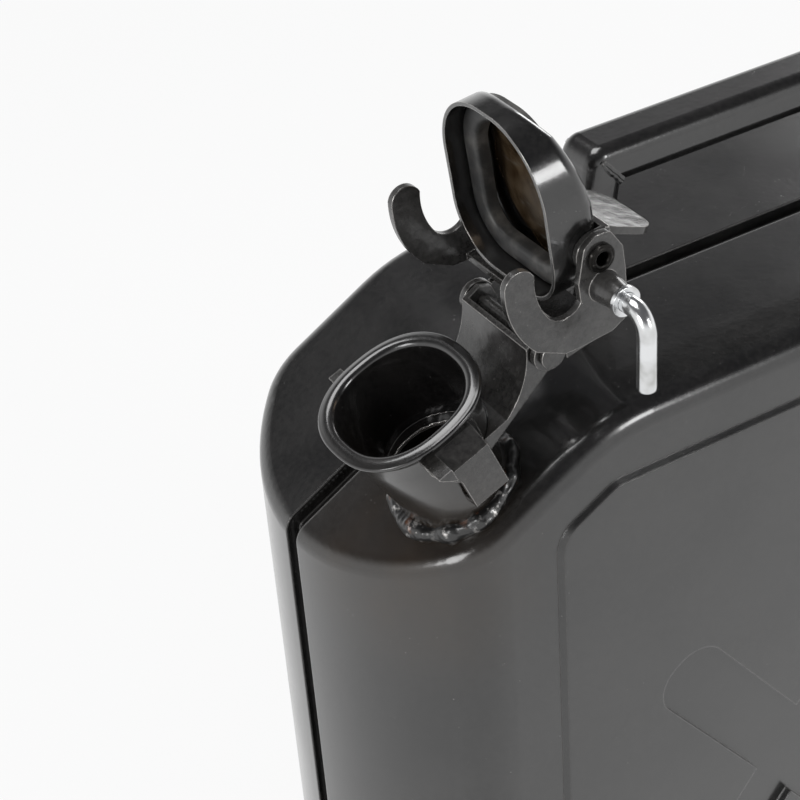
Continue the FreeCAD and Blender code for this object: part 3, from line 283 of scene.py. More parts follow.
# Seam: the halves are butt welded all round in the bottom of a sunk channel,
# and the bead keeps the small even ripples of a machine weld under the enamel.
def rounded_path(corners, step):
    """Points about step apart along the closed path through (a, b, radius) corners."""
    legs = []
    count = len(corners)
    for i, (a, b, radius) in enumerate(corners):
        here = Vector((a, b))
        back = (Vector(corners[i - 1][:2]) - here).normalized()
        ahead = (Vector(corners[(i + 1) % count][:2]) - here).normalized()
        half = back.angle(ahead) / 2
        run = radius / math.tan(half)
        middle = (back + ahead).normalized()
        centre = here + middle * (radius / math.sin(half))
        legs.append((here + back * run, here + ahead * run, centre, radius, math.pi - 2 * half))
    points = []
    for i, (start, end, centre, radius, turn) in enumerate(legs):
        pieces = max(int(radius * turn / step), 1)
        first = start - centre
        last = end - centre
        for k in range(pieces):
            share = k / pieces
            points.append(centre + first.slerp(last, share, first))
        onward = legs[(i + 1) % count][0]
        pieces = max(int((onward - end).length / step), 1)
        points.extend(end.lerp(onward, k / pieces) for k in range(pieces))
    return points


def skin(name, rings, finish, closed_ends=False):
    """A piece from rings of points, each joined to the next. The last ring joins the first
    again, or with closed_ends both are filled flat."""
    made = bmesh.new()
    rows = [[made.verts.new(point) for point in ring] for ring in rings]
    pairs = list(zip(rows, rows[1:]))
    if not closed_ends:
        pairs.append((rows[-1], rows[0]))
    for low, high in pairs:
        for i in range(len(low)):
            after = (i + 1) % len(low)
            made.faces.new((low[i], low[after], high[after], high[i]))
    if closed_ends:
        made.faces.new(reversed(rows[0]))
        made.faces.new(rows[-1])
    bmesh.ops.recalc_face_normals(made, faces=made.faces)
    mesh = bpy.data.meshes.new(name)
    made.to_mesh(mesh)
    made.free()
    mesh.shade_smooth()
    mesh.set_sharp_from_angle(angle=math.radians(50))
    mesh.materials.append(finish.material)
    piece = bpy.data.objects.new(name, mesh)
    bpy.context.scene.collection.objects.link(piece)
    return piece


CAN_HALF_LENGTH = 140.0
CAN_HEIGHT = 318.0
CHANNEL_DEEP = 5.0
CHANNEL_CORNER = 2
KNEE_ROUND = 55
SHOULDER_RUN = 78.0
SEAM_STEP = 0.45
SEAM_BEAD_HALF = 1.5
SEAM_BEAD_HIGH = 1.5
SEAM_BEAD_STEPS = 8
SEAM_BEAD_SUNK = 0.1
SEAM_RIPPLE_LONG = 1.7
SEAM_RIPPLE_HIGH = 0.10
SEAM_RIPPLE_SWEEP = 0.8
SEAM_WANDER_LONG = 17
SEAM_WANDER = 0.25

knee = -CAN_HALF_LENGTH + SHOULDER_RUN + CHANNEL_DEEP * math.tan(SHOULDER_SLOPE / 2)
front = -CAN_HALF_LENGTH + CHANNEL_DEEP
front_top = CAN_HEIGHT - CHANNEL_DEEP - (knee - front) * math.tan(SHOULDER_SLOPE)
channel_floor = rounded_path([
    (front, CHANNEL_DEEP, CHANNEL_CORNER),
    (-front, CHANNEL_DEEP, CHANNEL_CORNER),
    (-front, CAN_HEIGHT - CHANNEL_DEEP, CHANNEL_CORNER),
    (knee, CAN_HEIGHT - CHANNEL_DEEP, KNEE_ROUND),
    (front, front_top, CHANNEL_CORNER)], SEAM_STEP)
bead_rings = []
run = 0.0
for i, spot in enumerate(channel_floor):
    ahead = channel_floor[(i + 1) % len(channel_floor)] - channel_floor[i - 1]
    outward = Vector((ahead.y, -ahead.x)).normalized()
    run += ahead.length / 2
    ring = []
    for k in range(SEAM_BEAD_STEPS + 1):
        across = SEAM_BEAD_HALF * (2 * k / SEAM_BEAD_STEPS - 1)
        crown = SEAM_BEAD_HIGH * (1 - (across / SEAM_BEAD_HALF) ** 2) ** 0.5
        wave = 2 * math.pi * (run + SEAM_RIPPLE_SWEEP * abs(across)) / SEAM_RIPPLE_LONG
        wander = SEAM_WANDER * noise.noise(Vector((run / SEAM_WANDER_LONG, 0, 0)))
        height = crown * (1 + SEAM_RIPPLE_HIGH * math.cos(wave)) - SEAM_BEAD_SUNK
        point = spot + outward * height
        ring.append(Vector((point.x, across + wander, point.y)) * MILLIMETRE)
    bead_rings.append(ring)
seam_enamel = enamel("seam_enamel", peel=1.5, edge_rub_and_highlight=0.15)
seam_bead = skin("seam_bead", bead_rings, seam_enamel)
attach(seam_bead, "can")
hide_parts("seam_weld")


# Spout: a drawn tube whose mouth is opened to a rounded square and rolled
# over, and a hand-laid weld round its foot, lumpy and hardly covered by paint.
def squarish(angle, size, power):
    """Distance from the middle to a rounded square of that half size; power 2 is a circle."""
    flat = abs(math.cos(angle)) ** power + abs(math.sin(angle)) ** power
    return size / flat ** (1 / power)


def smooth(value):
    """A soft step from 0 to 1."""
    value = min(max(value, 0), 1)
    return value * value * (3 - 2 * value)


NARROWS_FROM = -8
NARROWS_OVER = 30
NARROWER = 0.5
NARROWER_FRONT = 3.0


def narrowing(angle, level):
    """How much the tube draws in towards its foot, most at the front."""
    drawn_in = NARROWER + NARROWER_FRONT * max(0, -math.cos(angle))
    return smooth((NARROWS_FROM - level) / NARROWS_OVER) * drawn_in


# Each point is the half size, the height above the mouth and the squareness. The
# collar inside is round, so its points have only the first two.
SPOUT_STEPS = 144
SPOUT_PROFILE = [
    (20.3, -50.0, 2.0), (20.3, -38.0, 2.0), (20.4, -34.0, 2.0), (20.4, -30.0, 2.0),
    (20.4, -25.0, 2.03), (20.4, -20.0, 2.06), (20.5, -12.0, 2.15), (20.7, -7.0, 2.2),
    (21.2, -5.0, 2.25), (22.2, -4.0, 2.3), (23.3, -3.1, 2.3), (23.9, -2.3, 2.35),
    (24.25, -1.6, 2.35), (24.3, -1.1, 2.35), (24.05, -0.75, 2.35), (23.7, -0.65, 2.35),
    (23.2, -0.45, 2.35), (22.4, -0.12, 2.35), (21.6, -0.02, 2.35), (20.8, -0.10, 2.35),
    (20.1, -0.45, 2.35), (19.6, -1.0, 2.3), (19.35, -1.8, 2.3), (19.3, -3.0, 2.25),
    (19.3, -7.0, 2.2), (19.25, -12.0, 2.15), (19.2, -20.0, 2.06), (19.2, -25.0, 2.03),
    (19.2, -30.5, 2.0)]
COLLAR_PROFILE = [(15.9, -30.8), (15.5, -30.7), (15.25, -30.9),
                  (15.1, -31.4), (15.1, -34.0), (15.1, -50.0)]
SPOUT_DEPTH = -41.08
SPOUT_FOOT_TILT = 0.1175
SPOUT_SUNK = 0.5
SPOUT_UNEVEN = 0.12
COLLAR_BURR = 0.35
BURR_ABOVE = -32


def foot_level(angle, radius):
    """Height of the shoulder under the spout, a little inside the sheet."""
    return SPOUT_DEPTH + SPOUT_FOOT_TILT * radius * math.cos(angle) - SPOUT_SUNK


spout_rings = []
for i in range(SPOUT_STEPS):
    angle = 2 * math.pi * i / SPOUT_STEPS
    way = SPOUT_ALONG * math.cos(angle) + ACROSS * math.sin(angle)
    ring = []
    for size, height, power in SPOUT_PROFILE:
        out = squarish(angle, size, power) - narrowing(angle, height)
        foot = foot_level(angle, out)
        place = Vector((math.cos(angle) * 2, math.sin(angle) * 2, height / 9))
        out += SPOUT_UNEVEN * noise.noise(place)
        ring.append(SPOUT_MOUTH + (way * out + SPOUT_UP * max(height, foot)) * MILLIMETRE)
    for out, height in COLLAR_PROFILE:
        level = max(height, foot_level(angle, out))
        if height > BURR_ABOVE:
            level += COLLAR_BURR * noise.noise(Vector((math.cos(angle) * 9, math.sin(angle) * 9, 0)))
        ring.append(SPOUT_MOUTH + (way * out + SPOUT_UP * level) * MILLIMETRE)
    spout_rings.append(ring)
spout_enamel = enamel("spout_enamel", peel=0.7, edge_rub_and_highlight=0.9, sag=0.2, ledge=True)
spout = skin("spout", spout_rings, spout_enamel)
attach(spout, "can")
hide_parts("neck_tube")

WELD_STEPS = 300
WELD_RADIUS = 20.25
WELD_LEG = 3.2
WELD_SECTION = 14
WELD_LUMPS = 0.45
WELD_CROWN = 0.10
WELD_RIPPLE = 0.035
WELD_RIPPLES = 38
WELD_RAGGED = 0.22
WELD_RISE = 0.95
WELD_ROOT_IN = 0.5
WELD_ROOT_DOWN = 0.6
WELD_TOE_DOWN = 0.35
WELD_TOP_IN = 0.5


def bead_ripple(turn, count, spread):
    """Stacked-coin ripples with an uneven pitch."""
    uneven = turn * count + 1.6 * noise.noise(Vector((turn * 9, spread, 0.3)))
    return math.cos(2 * math.pi * uneven + 1.1 * spread)


weld_rings = []
for i in range(WELD_STEPS):
    turn = i / WELD_STEPS
    angle = 2 * math.pi * turn
    radius = WELD_RADIUS - narrowing(angle, SPOUT_DEPTH)
    drop = SPOUT_FOOT_TILT * radius * math.cos(angle)
    way = SPOUT_ALONG * math.cos(angle) + ACROSS * math.sin(angle)
    corner = SPOUT_FOOT + (way * radius + SPOUT_UP * drop) * MILLIMETRE
    out = (way - SHOULDER_UP * way.dot(SHOULDER_UP)).normalized()
    lump = 1 + WELD_LUMPS * noise.noise(Vector((math.cos(angle) * 2.6, math.sin(angle) * 2.6, 4.0)))
    ring = [corner - (out * WELD_ROOT_IN + SHOULDER_UP * WELD_ROOT_DOWN) * MILLIMETRE]
    for k in range(WELD_SECTION):
        share = k / (WELD_SECTION - 1)
        bend = share * math.pi / 2
        full = 1 + WELD_CROWN * math.sin(2 * bend)
        swell = math.sin(math.pi * share)
        full += WELD_RIPPLE * swell * bead_ripple(turn, WELD_RIPPLES, share)
        full += WELD_RAGGED * swell * noise.noise(Vector((turn * 26, share * 2, 1.7)))
        leg = WELD_LEG * lump * full
        rise = WELD_RISE * leg * math.sin(bend)
        point = corner + (out * leg * math.cos(bend) + SPOUT_UP * rise) * MILLIMETRE
        if k == 0:
            point = point - SHOULDER_UP * WELD_TOE_DOWN * MILLIMETRE
        if k == WELD_SECTION - 1:
            point = point - way * WELD_TOP_IN * MILLIMETRE
        ring.append(point)
    weld_rings.append(ring)


WELD_BRIGHT = (0.62, 0.60, 0.58, 1)
WELD_RUST = (0.16, 0.055, 0.018, 1)
WELD_MOTTLE_GRAIN = 380
WELD_CREST_GRAIN = 75
WELD_RUST_GRAIN = 170
WELD_SCALE_GRAIN = 1300


def weld_finish(name):
    """Enamel that hardly covers a raw weld, with bright crests and a rusty tint."""
    made = Finish(name, ENAMEL_SHINE, 0.0003)
    made.feed(made.shader.inputs["Coat Weight"], 0.4)
    mottle = made.grain(WELD_MOTTLE_GRAIN, 4, 0.6)
    patch = made.grain(WELD_CREST_GRAIN)
    crest = made.between(mottle, 0.55, 0.68) * made.between(patch, 0.42, 0.6)
    rust = made.between(made.grain(WELD_RUST_GRAIN, 3), 0.60, 0.72)
    colour = made.mix(crest, ENAMEL_BLACK, WELD_BRIGHT)
    colour = made.mix(rust * 0.7, colour, WELD_RUST)
    made.feed(made.shader.inputs["Base Color"], colour)
    made.feed(made.shader.inputs["Metallic"], crest * 0.9)
    made.feed(made.shader.inputs["Roughness"], 0.22 + 0.25 * mottle)
    made.relief(0.20 * mottle + 0.05 * made.grain(WELD_SCALE_GRAIN))
    return made


weld_enamel = weld_finish("weld_enamel")
spout_bead = skin("spout_bead", weld_rings, weld_enamel)
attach(spout_bead, "can")
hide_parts("neck_weld")


# Hinge saddle, its pin and the side catches: bent steel strips welded to the
# spout, blackened, with sheared edges rubbed bright by the lid and the hooks;
# that bright edging is partly a painted highlight.
bracket_enamel = enamel("bracket_enamel", peel=1.3, edge_rub_and_highlight=1.0, beaten=0.2, edge=0.0006,
                        tones=BLACKENED_TONES, coat=0.1)
paint(bracket_enamel, "hinge_saddle", "hinge_pin", "catch_left", "catch_right")


# Lid: a drawn dome with a yoke on it. Its hollow was never painted right
# through and shows stained, scratched steel inside the rubber. Lid places are
# counted from the middle of its mouth, down to the hinge and up into the dome.
LID_MIDDLE = Vector((-0.075218, -0.034, 0.384535))
LID_ALONG = Vector((0.1184, 0, -0.993))
LID_UP = Vector((0.993, 0, 0.1184))


def lid_spot(along, across, up):
    """The place of a spot of the open lid, from millimetres off the middle of its mouth."""
    return LID_MIDDLE + (LID_ALONG * along + ACROSS * across + LID_UP * up) * MILLIMETRE


# The hollow's inside: between which levels of the lid, how far off its axis,
# and the marks on its floor.
HOLLOW_FROM = (0.0060, 0.0085)
HOLLOW_TO = (0.01075, 0.01095)
HOLLOW_WIDE = (0.0225, 0.0235)
RUST_SPOT = lid_spot(-12, 0, 10.3)
PALE_SPOT = lid_spot(10, 4, 10.3)
STAIN_DARK = (0.13, 0.080, 0.040, 1)
STAIN_PALE = (0.33, 0.235, 0.145, 1)
RUST_YELLOW = (0.60, 0.38, 0.10, 1)
SCRATCHED = (0.55, 0.52, 0.47, 1)
BLOTCH_GRAIN = 150
RUST_GRAIN = 500
SCRATCH_GRAIN = 900
SCRATCH_SQUEEZE = 0.12
PALE_GRAIN = 260

lid_enamel = enamel("lid_enamel", edge_rub_and_highlight=0.9, edge=0.0005)
level = lid_enamel.reach(LID_MIDDLE, LID_UP)
hollow = lid_enamel.between(level, *HOLLOW_FROM) * (1 - lid_enamel.between(level, *HOLLOW_TO))
hollow = hollow * (1 - lid_enamel.between(lid_enamel.off_axis(LID_MIDDLE, LID_UP), *HOLLOW_WIDE))
facing = lid_enamel.node("ShaderNodeTexCoord", output="Normal")
inward = lid_enamel.vector("DOT_PRODUCT", facing, -LID_UP, output="Value")
hollow = hollow * lid_enamel.between(inward, 0.3, 0.6)
blotch = lid_enamel.between(lid_enamel.grain(BLOTCH_GRAIN, 4, 0.6), 0.35, 0.65)
stain = lid_enamel.mix(blotch, STAIN_DARK, STAIN_PALE)
rust_spot = 1 - lid_enamel.between(lid_enamel.distance(RUST_SPOT), 0.001, 0.005)
stain = lid_enamel.mix(rust_spot * lid_enamel.grain(RUST_GRAIN), stain, RUST_YELLOW)
streaks = lid_enamel.grain(SCRATCH_GRAIN, place=lid_enamel.stretched(ACROSS, SCRATCH_SQUEEZE))
scratch = lid_enamel.between(streaks, 0.66, 0.72)
pale = 1 - lid_enamel.between(lid_enamel.distance(PALE_SPOT), 0.003, 0.012)
marks = 0.6 * scratch + 0.5 * pale * lid_enamel.grain(PALE_GRAIN, 3)
stain = lid_enamel.mix(marks, stain, SCRATCHED)
lid_colour = lid_enamel.mix(hollow, lid_enamel.colour, stain)
lid_enamel.feed(lid_enamel.shader.inputs["Base Color"], lid_colour)
lid_enamel.feed(lid_enamel.shader.inputs["Metallic"], lid_enamel.metal + hollow * 0.7)
paint(lid_enamel, "lid_shell")
yoke_enamel = enamel("yoke_enamel", edge_rub_and_highlight=0.9, edge=0.0006, tones=BLACKENED_TONES, coat=0.1)
paint(yoke_enamel, "lid_yoke")


# Gasket: a moulded rubber ring pressed into the lid's skirt, crowned on its
# face, with the line of the spout's rim pressed into it.
LID_FRONT_CORNER = (-8.0, 2.7, 23.0)
LID_REAR_CORNER = (9.0, 8.7, 17.0)
GASKET_ARC = 26
GASKET_OUTER = 1.55
RIM_DENT = 0.16
RIM_DENT_RADIUS = 21.6
RIM_DENT_HALF = 0.8
RUBBER_DARK = (0.024, 0.024, 0.024, 1)
RUBBER_DUST = (0.095, 0.091, 0.085, 1)
BLOOM_GRAIN = 120
RUBBER_DULL_GRAIN = 220
RUBBER_SKIN_GRAIN = 1500

# Each point is the inset from the ring's outer edge and the height into the dome.
GASKET_SECTION = [
    (0.0, 4.85), (0.0, 3.2), (0.0, 1.9), (0.18, 1.25), (0.6, 0.78), (1.2, 0.50), (1.9, 0.36),
    (2.7, 0.31), (3.5, 0.31), (4.3, 0.33), (5.1, 0.38), (5.8, 0.50), (6.35, 0.72), (6.7, 1.05),
    (6.86, 1.45), (6.95, 2.0), (7.05, 3.4), (7.1, 4.85)]


def lid_outline(inset):
    """The lid's rounded D, drawn in by inset, as (along, across) in millimetres."""
    points = []
    for centre, side in ((LID_FRONT_CORNER, -1), (LID_REAR_CORNER, -1),
                         (LID_REAR_CORNER, 1), (LID_FRONT_CORNER, 1)):
        front_end = centre is LID_FRONT_CORNER
        for k in range(GASKET_ARC):
            share = k / GASKET_ARC
            quarter = share if side < 0 else 1 - share
            bend = (quarter if front_end else 1 - quarter) * math.pi / 2
            radius = centre[2] - inset
            lean = -math.cos(bend) if front_end else math.cos(bend)
            points.append((centre[0] + lean * radius, side * (centre[1] + math.sin(bend) * radius)))
    return points


gasket_rings = []
for inset, height in GASKET_SECTION:
    ring = []
    for along, across in lid_outline(GASKET_OUTER + inset):
        off = (math.hypot(along, across) - RIM_DENT_RADIUS) / RIM_DENT_HALF
        on_face = 1.0 < inset < 6.0
        rise = RIM_DENT * math.exp(-off ** 2) if on_face else 0
        ring.append(lid_spot(along, across, height + rise))
    gasket_rings.append(ring)

rubber = Finish("gasket_rubber", {"IOR": 1.5}, 0.0002)
bloom = rubber.between(rubber.grain(BLOOM_GRAIN, 4, 0.6), 0.40, 0.75)
rubber.feed(rubber.shader.inputs["Base Color"], rubber.mix(bloom, RUBBER_DARK, RUBBER_DUST))
rubber.feed(rubber.shader.inputs["Roughness"], 0.34 + 0.2 * rubber.grain(RUBBER_DULL_GRAIN))
rubber.relief(0.025 * rubber.grain(RUBBER_SKIN_GRAIN))
gasket = skin("gasket_ring", gasket_rings, rubber)
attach(gasket, "lid")
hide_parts("lid_gasket")


# Cam lever: a folded plate with a hook on each side, a stem and a thumb
# paddle. The hooks are scuffed by the lugs that they draw under, and the
# bright lines along its edges are partly a painted highlight.
lever_enamel = enamel("lever_enamel", peel=1.6, edge_rub_and_highlight=1.0, beaten=0.35, edge=0.0006,
                      tones=BLACKENED_TONES, coat=0.1)
paint(lever_enamel, "cam_lever")


# Pivot rivets: hollow rivets rolled over on the outside of the lever's
# plates, their black finish worn to bright rings.
RIVET_PLACE = Vector((-0.0669374, -0.034, 0.3771639))
RIVET_STEPS = 64
SIDES = (("left", -1), ("right", 1))
RIVET_BLACK = (0.018, 0.017, 0.016, 1)
RIVET_BRIGHT = (0.45, 0.43, 0.41, 1)
RIVET_WEAR_GRAIN = 700
RIVET_DULL_GRAIN = 500
RIVET_SKIN_GRAIN = 900

# Each point is the radius and the distance from the plane of the spout's middle.
RIVET_PROFILE = [
    (1.90, 25.9), (2.92, 25.9), (3.0, 26.1), (3.0, 30.7), (4.1, 30.7), (4.36, 30.85),
    (4.40, 31.1), (4.28, 31.35), (4.0, 31.52), (3.7, 31.58), (3.5, 31.52), (3.36, 31.56),
    (3.1, 31.80), (2.75, 31.88), (2.4, 31.80), (2.1, 31.50), (1.95, 31.1), (1.90, 30.5), (1.88, 28.0)]


def worn_steel(name):
    """Blackened steel with its high spots worn bright."""
    made = Finish(name, {"Metallic": 1.0}, 0.0003)
    share = made.between(made.edges() + 0.5 * made.grain(RIVET_WEAR_GRAIN, 3), 0.30, 0.48)
    made.feed(made.shader.inputs["Base Color"], made.mix(share, RIVET_BLACK, RIVET_BRIGHT))
    made.feed(made.shader.inputs["Roughness"], 0.25 + 0.3 * made.grain(RIVET_DULL_GRAIN))
    made.relief(0.03 * made.grain(RIVET_SKIN_GRAIN))
    return made


rivet_steel = worn_steel("rivet_steel")
for side_name, side in SIDES:
    rings = []
    for radius, out in RIVET_PROFILE:
        ring = []
        for k in range(RIVET_STEPS):
            angle = 2 * math.pi * k / RIVET_STEPS
            way = Vector((math.cos(angle) * radius, side * out, math.sin(angle) * radius))
            ring.append(RIVET_PLACE + way * MILLIMETRE)
        rings.append(ring)
    rivet = skin("hollow_rivet_" + side_name, rings, rivet_steel)
    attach(rivet, "lid")
    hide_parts("pivot_rivet_" + side_name)


# Locking pin: a rod bent square and cut off flat, with a bright zinc plating,
# held in the lever's collar by a pressed ring.
PIN_PLACE = Vector((-0.0657888, -0.034, 0.3675321))
PIN_ROD = 2.89
PIN_STEPS = 40
PIN_INNER = 26.0
PIN_BEND_FROM = 44.0
PIN_BEND = 6.0
PIN_LEG = 24.0
PIN_CHAMFER = 0.35
PIN_RINGS = 24
PIN_OVAL = 0.10
PIN_HIDDEN_CHAMFER = 0.4
PIN_CHAMFER_LONG = 0.3
ZINC_BRIGHT = (0.80, 0.81, 0.82, 1)
ZINC_DULL = (0.42, 0.42, 0.40, 1)
ZINC_DULL_GRAIN = 90
ZINC_DRAWN_GRAIN = 1500
ZINC_DRAWN_SQUEEZE = 0.06
ZINC_SKIN_GRAIN = 700


def pin_ring(across, up, tilt, radius):
    """A ring of the rod at (across, up) in millimetres, its way tilted from level to plumb."""
    ring = []
    for k in range(PIN_STEPS):
        angle = 2 * math.pi * k / PIN_STEPS
        side = math.sin(angle) * radius
        way = Vector((math.cos(angle) * radius, -side * math.sin(tilt), side * math.cos(tilt)))
        ring.append(PIN_PLACE + (Vector((0, -across, up)) + way) * MILLIMETRE)
    return ring


straight_from = PIN_INNER + PIN_CHAMFER
straight = PIN_BEND_FROM - straight_from
leg_across = PIN_BEND_FROM + PIN_BEND
leg = PIN_LEG - PIN_BEND - PIN_CHAMFER_LONG
pin_rings = [pin_ring(PIN_INNER, 0, 0, PIN_ROD - PIN_HIDDEN_CHAMFER)]
for k in range(PIN_RINGS + 1):
    pin_rings.append(pin_ring(straight_from + straight * k / (PIN_RINGS + 1), 0, 0, PIN_ROD))
for k in range(PIN_RINGS + 1):
    tilt = math.pi / 2 * k / PIN_RINGS
    bend_across = PIN_BEND_FROM + PIN_BEND * math.sin(tilt)
    bend_up = PIN_BEND * math.cos(tilt) - PIN_BEND
    pin_rings.append(pin_ring(bend_across, bend_up, tilt, PIN_ROD - PIN_OVAL * math.sin(2 * tilt)))
for k in range(1, PIN_RINGS + 1):
    pin_rings.append(pin_ring(leg_across, -PIN_BEND - leg * k / PIN_RINGS, math.pi / 2, PIN_ROD))
pin_rings.append(pin_ring(leg_across, -PIN_LEG, math.pi / 2, PIN_ROD - PIN_CHAMFER))


def bright_zinc(name):
    """Bright zinc plating with fine draw marks and a little dulling."""
    made = Finish(name, {"Metallic": 1.0}, 0.0003)
    dull = made.grain(ZINC_DULL_GRAIN, 3)
    drawn_place = made.stretched(Vector((0, 0, 1)), ZINC_DRAWN_SQUEEZE)
    drawn = made.grain(ZINC_DRAWN_GRAIN, place=drawn_place)
    share = made.between(dull, 0.45, 0.8)
    made.feed(made.shader.inputs["Base Color"], made.mix(share, ZINC_BRIGHT, ZINC_DULL))
    made.feed(made.shader.inputs["Roughness"], 0.10 + 0.16 * dull + 0.06 * drawn)
    made.relief(0.02 * drawn + 0.02 * made.grain(ZINC_SKIN_GRAIN))
    return made


pin_zinc = bright_zinc("pin_zinc")
rod = skin("locking_rod", pin_rings, pin_zinc, closed_ends=True)
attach(rod, "pin")
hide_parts("locking_pin")
paint(pin_zinc, "pin_clip")


# Handle: a bridge of rectangular tube, notched and folded at its corners, with
# the folds left as open cracks, and welded to the top at both feet.
handle_enamel = enamel("handle_enamel", peel=1.2, edge_rub_and_highlight=0.7, sag=0.15)
paint(handle_enamel, "handle_tube")

HANDLE_FEET = {"front": -31.0, "rear": 100.0}
POST_LONG = 14.0
POST_WIDE = 18.5
POST_ROUND = 4.5
FOOT_LEG = 3.1
FOOT_STEP = 0.4
FOOT_SECTION = 8
FOOT_LUMPS = 0.25
FOOT_RIPPLE = 0.08
FOOT_RIPPLES = 26
FOOT_ROOT_IN = 0.8
FOOT_ROOT_DOWN = 0.4
FOOT_TOE_DOWN = 0.3
FOOT_TOP_IN = 0.9

for end, centre in HANDLE_FEET.items():
    around = rounded_path([
        (centre - POST_LONG / 2, -POST_WIDE / 2, POST_ROUND),
        (centre + POST_LONG / 2, -POST_WIDE / 2, POST_ROUND),
        (centre + POST_LONG / 2, POST_WIDE / 2, POST_ROUND),
        (centre - POST_LONG / 2, POST_WIDE / 2, POST_ROUND)], FOOT_STEP)
    rings = []
    for i, spot in enumerate(around):
        ahead = around[(i + 1) % len(around)] - around[i - 1]
        outward = Vector((ahead.y, -ahead.x)).normalized()
        turn = i / len(around)
        lump = 1 + FOOT_LUMPS * noise.noise(Vector((spot.x / 5, spot.y / 5, 2.0)))
        root = spot - outward * FOOT_ROOT_IN
        ring = [Vector((root.x, root.y, CAN_HEIGHT - FOOT_ROOT_DOWN))]
        for k in range(FOOT_SECTION + 1):
            share = k / FOOT_SECTION
            bend = math.pi / 2 * share
            ripple = FOOT_RIPPLE * math.sin(2 * bend) * bead_ripple(turn, FOOT_RIPPLES, share)
            full = FOOT_LEG * lump * (1 + ripple)
            out = full * math.cos(bend)
            rise = full * math.sin(bend)
            if k == 0:
                rise = -FOOT_TOE_DOWN
            if k == FOOT_SECTION:
                out -= FOOT_TOP_IN
            point = spot + outward * out
            ring.append(Vector((point.x, point.y, CAN_HEIGHT + rise)))
        rings.append([point * MILLIMETRE for point in ring])
    foot_bead = skin("handle_bead_" + end, rings, weld_enamel)
    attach(foot_bead, "can")
    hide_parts("handle_weld_" + end)


# The folds show as cracks up both sides of the tube, each between two turned-up
# lips, and fade out towards the outer corner. Each runs between two (x, z) corners,
# and the points of its section are the distance off that line and off the tube.
FOLDS = {"front": ((-17.6, 358.0), (-29.5, 372.0)), "rear": ((86.6, 358.0), (98.5, 372.0))}
FOLD_START = 0.10
FOLD_SHARE = 0.65
FOLD_STEPS = 40
FOLD_SECTION = [(-1.5, -0.3), (-1.35, 0.03), (-0.8, 0.14), (-0.36, 0.34), (-0.22, 0.30), (-0.10, 0.04),
                (0.10, 0.04), (0.22, 0.26), (0.36, 0.30), (0.8, 0.12), (1.35, 0.03), (1.5, -0.3)]

for end, (inner, outer) in FOLDS.items():
    line = Vector(outer) - Vector(inner)
    across = Vector((-line.y, line.x)).normalized()
    for side_name, side in SIDES:
        rings = []
        for i in range(FOLD_STEPS + 1):
            share = i / FOLD_STEPS
            spot = Vector(inner) + line * (FOLD_START + FOLD_SHARE * share)
            fade = smooth((1 - share) * 3) * (1 + 0.3 * noise.noise(Vector((share * 9, side, 5))))
            stray = 0.35 * noise.noise(Vector((share * 5, side, 0)))
            ring = []
            for off, high in FOLD_SECTION:
                point = spot + across * (off * (0.5 + 0.5 * fade) + stray)
                lift = POST_WIDE / 2 + high * fade
                ring.append(Vector((point.x, side * lift, point.y)) * MILLIMETRE)
            rings.append(ring)
        crack = skin("fold_crack_" + end + "_" + side_name, rings, handle_enamel, closed_ends=True)
        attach(crack, "can")


# Stage: a plain pale floor that keeps the can's shadow and fades to white far
# off, a soft studio with four lamps, and the photograph's camera.
FLOOR_COLOUR = (0.80, 0.80, 0.80, 1)
WORLD_COLOUR = (0.80, 0.81, 0.82, 1)
WORLD_STRENGTH = 0.45
WHITE = (1, 1, 1, 1)
CEILING = (0.10, 0.10, 0.105, 1)
FLOOR_GLOW = 0.85
FLOOR_FADE = 0.7
FLOOR_WHITE = 2.4
FLOOR_HALF = 4.0
DUSK_FROM = 0.10
DUSK_TO = 0.62

floor_mesh = bpy.data.meshes.new("floor")
corners = [(-FLOOR_HALF, -FLOOR_HALF, 0), (FLOOR_HALF, -FLOOR_HALF, 0),
           (FLOOR_HALF, FLOOR_HALF, 0), (-FLOOR_HALF, FLOOR_HALF, 0)]
floor_mesh.from_pydata(corners, [], [(0, 1, 2, 3)])
floor = bpy.data.objects.new("floor", floor_mesh)
bpy.context.scene.collection.objects.link(floor)
floor.location.z = cad_low.z
floor_paint = Finish("floor_paint", {"Roughness": 0.9, "Base Color": FLOOR_COLOUR})
glow = floor_paint.node("ShaderNodeEmission", None, {"Color": WHITE, "Strength": 1})
plain_floor = Link(floor_paint, floor_paint.shader.outputs[0])
far = floor_paint.between(floor_paint.distance(Vector((0, 0, 0))), FLOOR_FADE, FLOOR_WHITE)
share = floor_paint.seen() * (FLOOR_GLOW + (1 - FLOOR_GLOW) * far)
shown = floor_paint.node("ShaderNodeMixShader", None, {0: share, 1: plain_floor, 2: glow})
floor_paint.feed(floor_paint.tree.nodes["Material Output"].inputs["Surface"], shown)
floor_mesh.materials.append(floor_paint.material)
floor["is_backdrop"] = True

# The backdrop is white up to a little over the horizon and dark overhead,
# which gives the gloss of the enamel its dark and bright parts.
studio = bpy.data.worlds.new("studio")
bpy.context.scene.world = studio
sky = Shading(studio)
way = sky.node("ShaderNodeTexCoord", output="Generated")
height = sky.node("ShaderNodeSeparateXYZ", None, {0: way}, output="Z")
backdrop = sky.mix(sky.between(height, DUSK_FROM, DUSK_TO), WHITE, CEILING)
soft = sky.node("ShaderNodeBackground", None, {"Color": WORLD_COLOUR, "Strength": WORLD_STRENGTH})
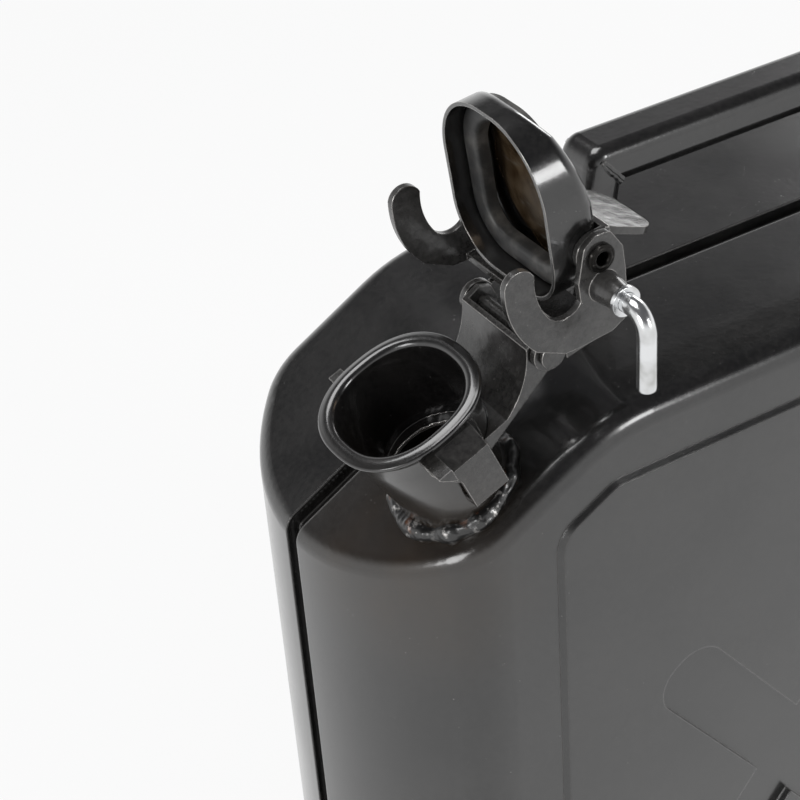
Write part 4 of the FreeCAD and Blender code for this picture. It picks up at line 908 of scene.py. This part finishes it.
plain = sky.node("ShaderNodeBackground", None, {"Color": backdrop, "Strength": 1})
shown = sky.node("ShaderNodeMixShader", None, {0: sky.seen(), 1: soft, 2: plain})
sky.feed(sky.tree.nodes["World Output"].inputs["Surface"], shown)


def lamp(name, spot, aim, size, power):
    """A square soft box at spot, turned to aim, with its size in metres and power in watts."""
    data = bpy.data.lights.new(name, "AREA")
    data.shape = "SQUARE"
    data.size = size
    data.energy = power
    made = bpy.data.objects.new(name, data)
    bpy.context.scene.collection.objects.link(made)
    made.location = spot
    made.rotation_mode = "QUATERNION"
    made.rotation_quaternion = (Vector(aim) - Vector(spot)).to_track_quat("-Z", "Y")


lamp("overhead_box", (-0.3, 0.45, 1.6), (-0.05, 0, 0.3), 0.8, 11)
lamp("front_box", (-1.5, -0.5, 0.9), (-0.05, 0, 0.25), 0.6, 8)
lamp("side_box", (0.5, -1.3, 1.0), (0, 0, 0.28), 0.4, 6)
lamp("rear_box", (1.3, 0.9, 0.8), (0, 0, 0.2), 0.5, 4)

# The eye stands where the photograph was taken from, with its right, down and
# ahead directions there and its focal length in the photograph's pixels.
EYE = Vector((-0.35058, -0.46159, 0.6781))
EYE_RIGHT = Vector((0.851641, -0.520001, -0.06563))
EYE_DOWN = Vector((-0.347497, -0.466456, -0.813428))
EYE_AHEAD = Vector((0.39237, 0.715555, -0.577951))
FOCAL_PIXELS = 2082.1
PHOTO_PIXELS = 800
SENSOR = 36
camera_data = bpy.data.cameras.new("camera")
camera_data.sensor_width = SENSOR
camera_data.lens = FOCAL_PIXELS / PHOTO_PIXELS * SENSOR
camera_data.clip_start = 0.02
camera_data.clip_end = 50
camera = bpy.data.objects.new("camera", camera_data)
bpy.context.scene.collection.objects.link(camera)
eye_turn = Matrix((EYE_RIGHT, -EYE_DOWN, -EYE_AHEAD)).transposed()
camera.matrix_world = Matrix.Translation(EYE) @ eye_turn.to_4x4()
bpy.context.scene.camera = camera
bpy.context.scene.view_settings.view_transform = "Standard"

low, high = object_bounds()
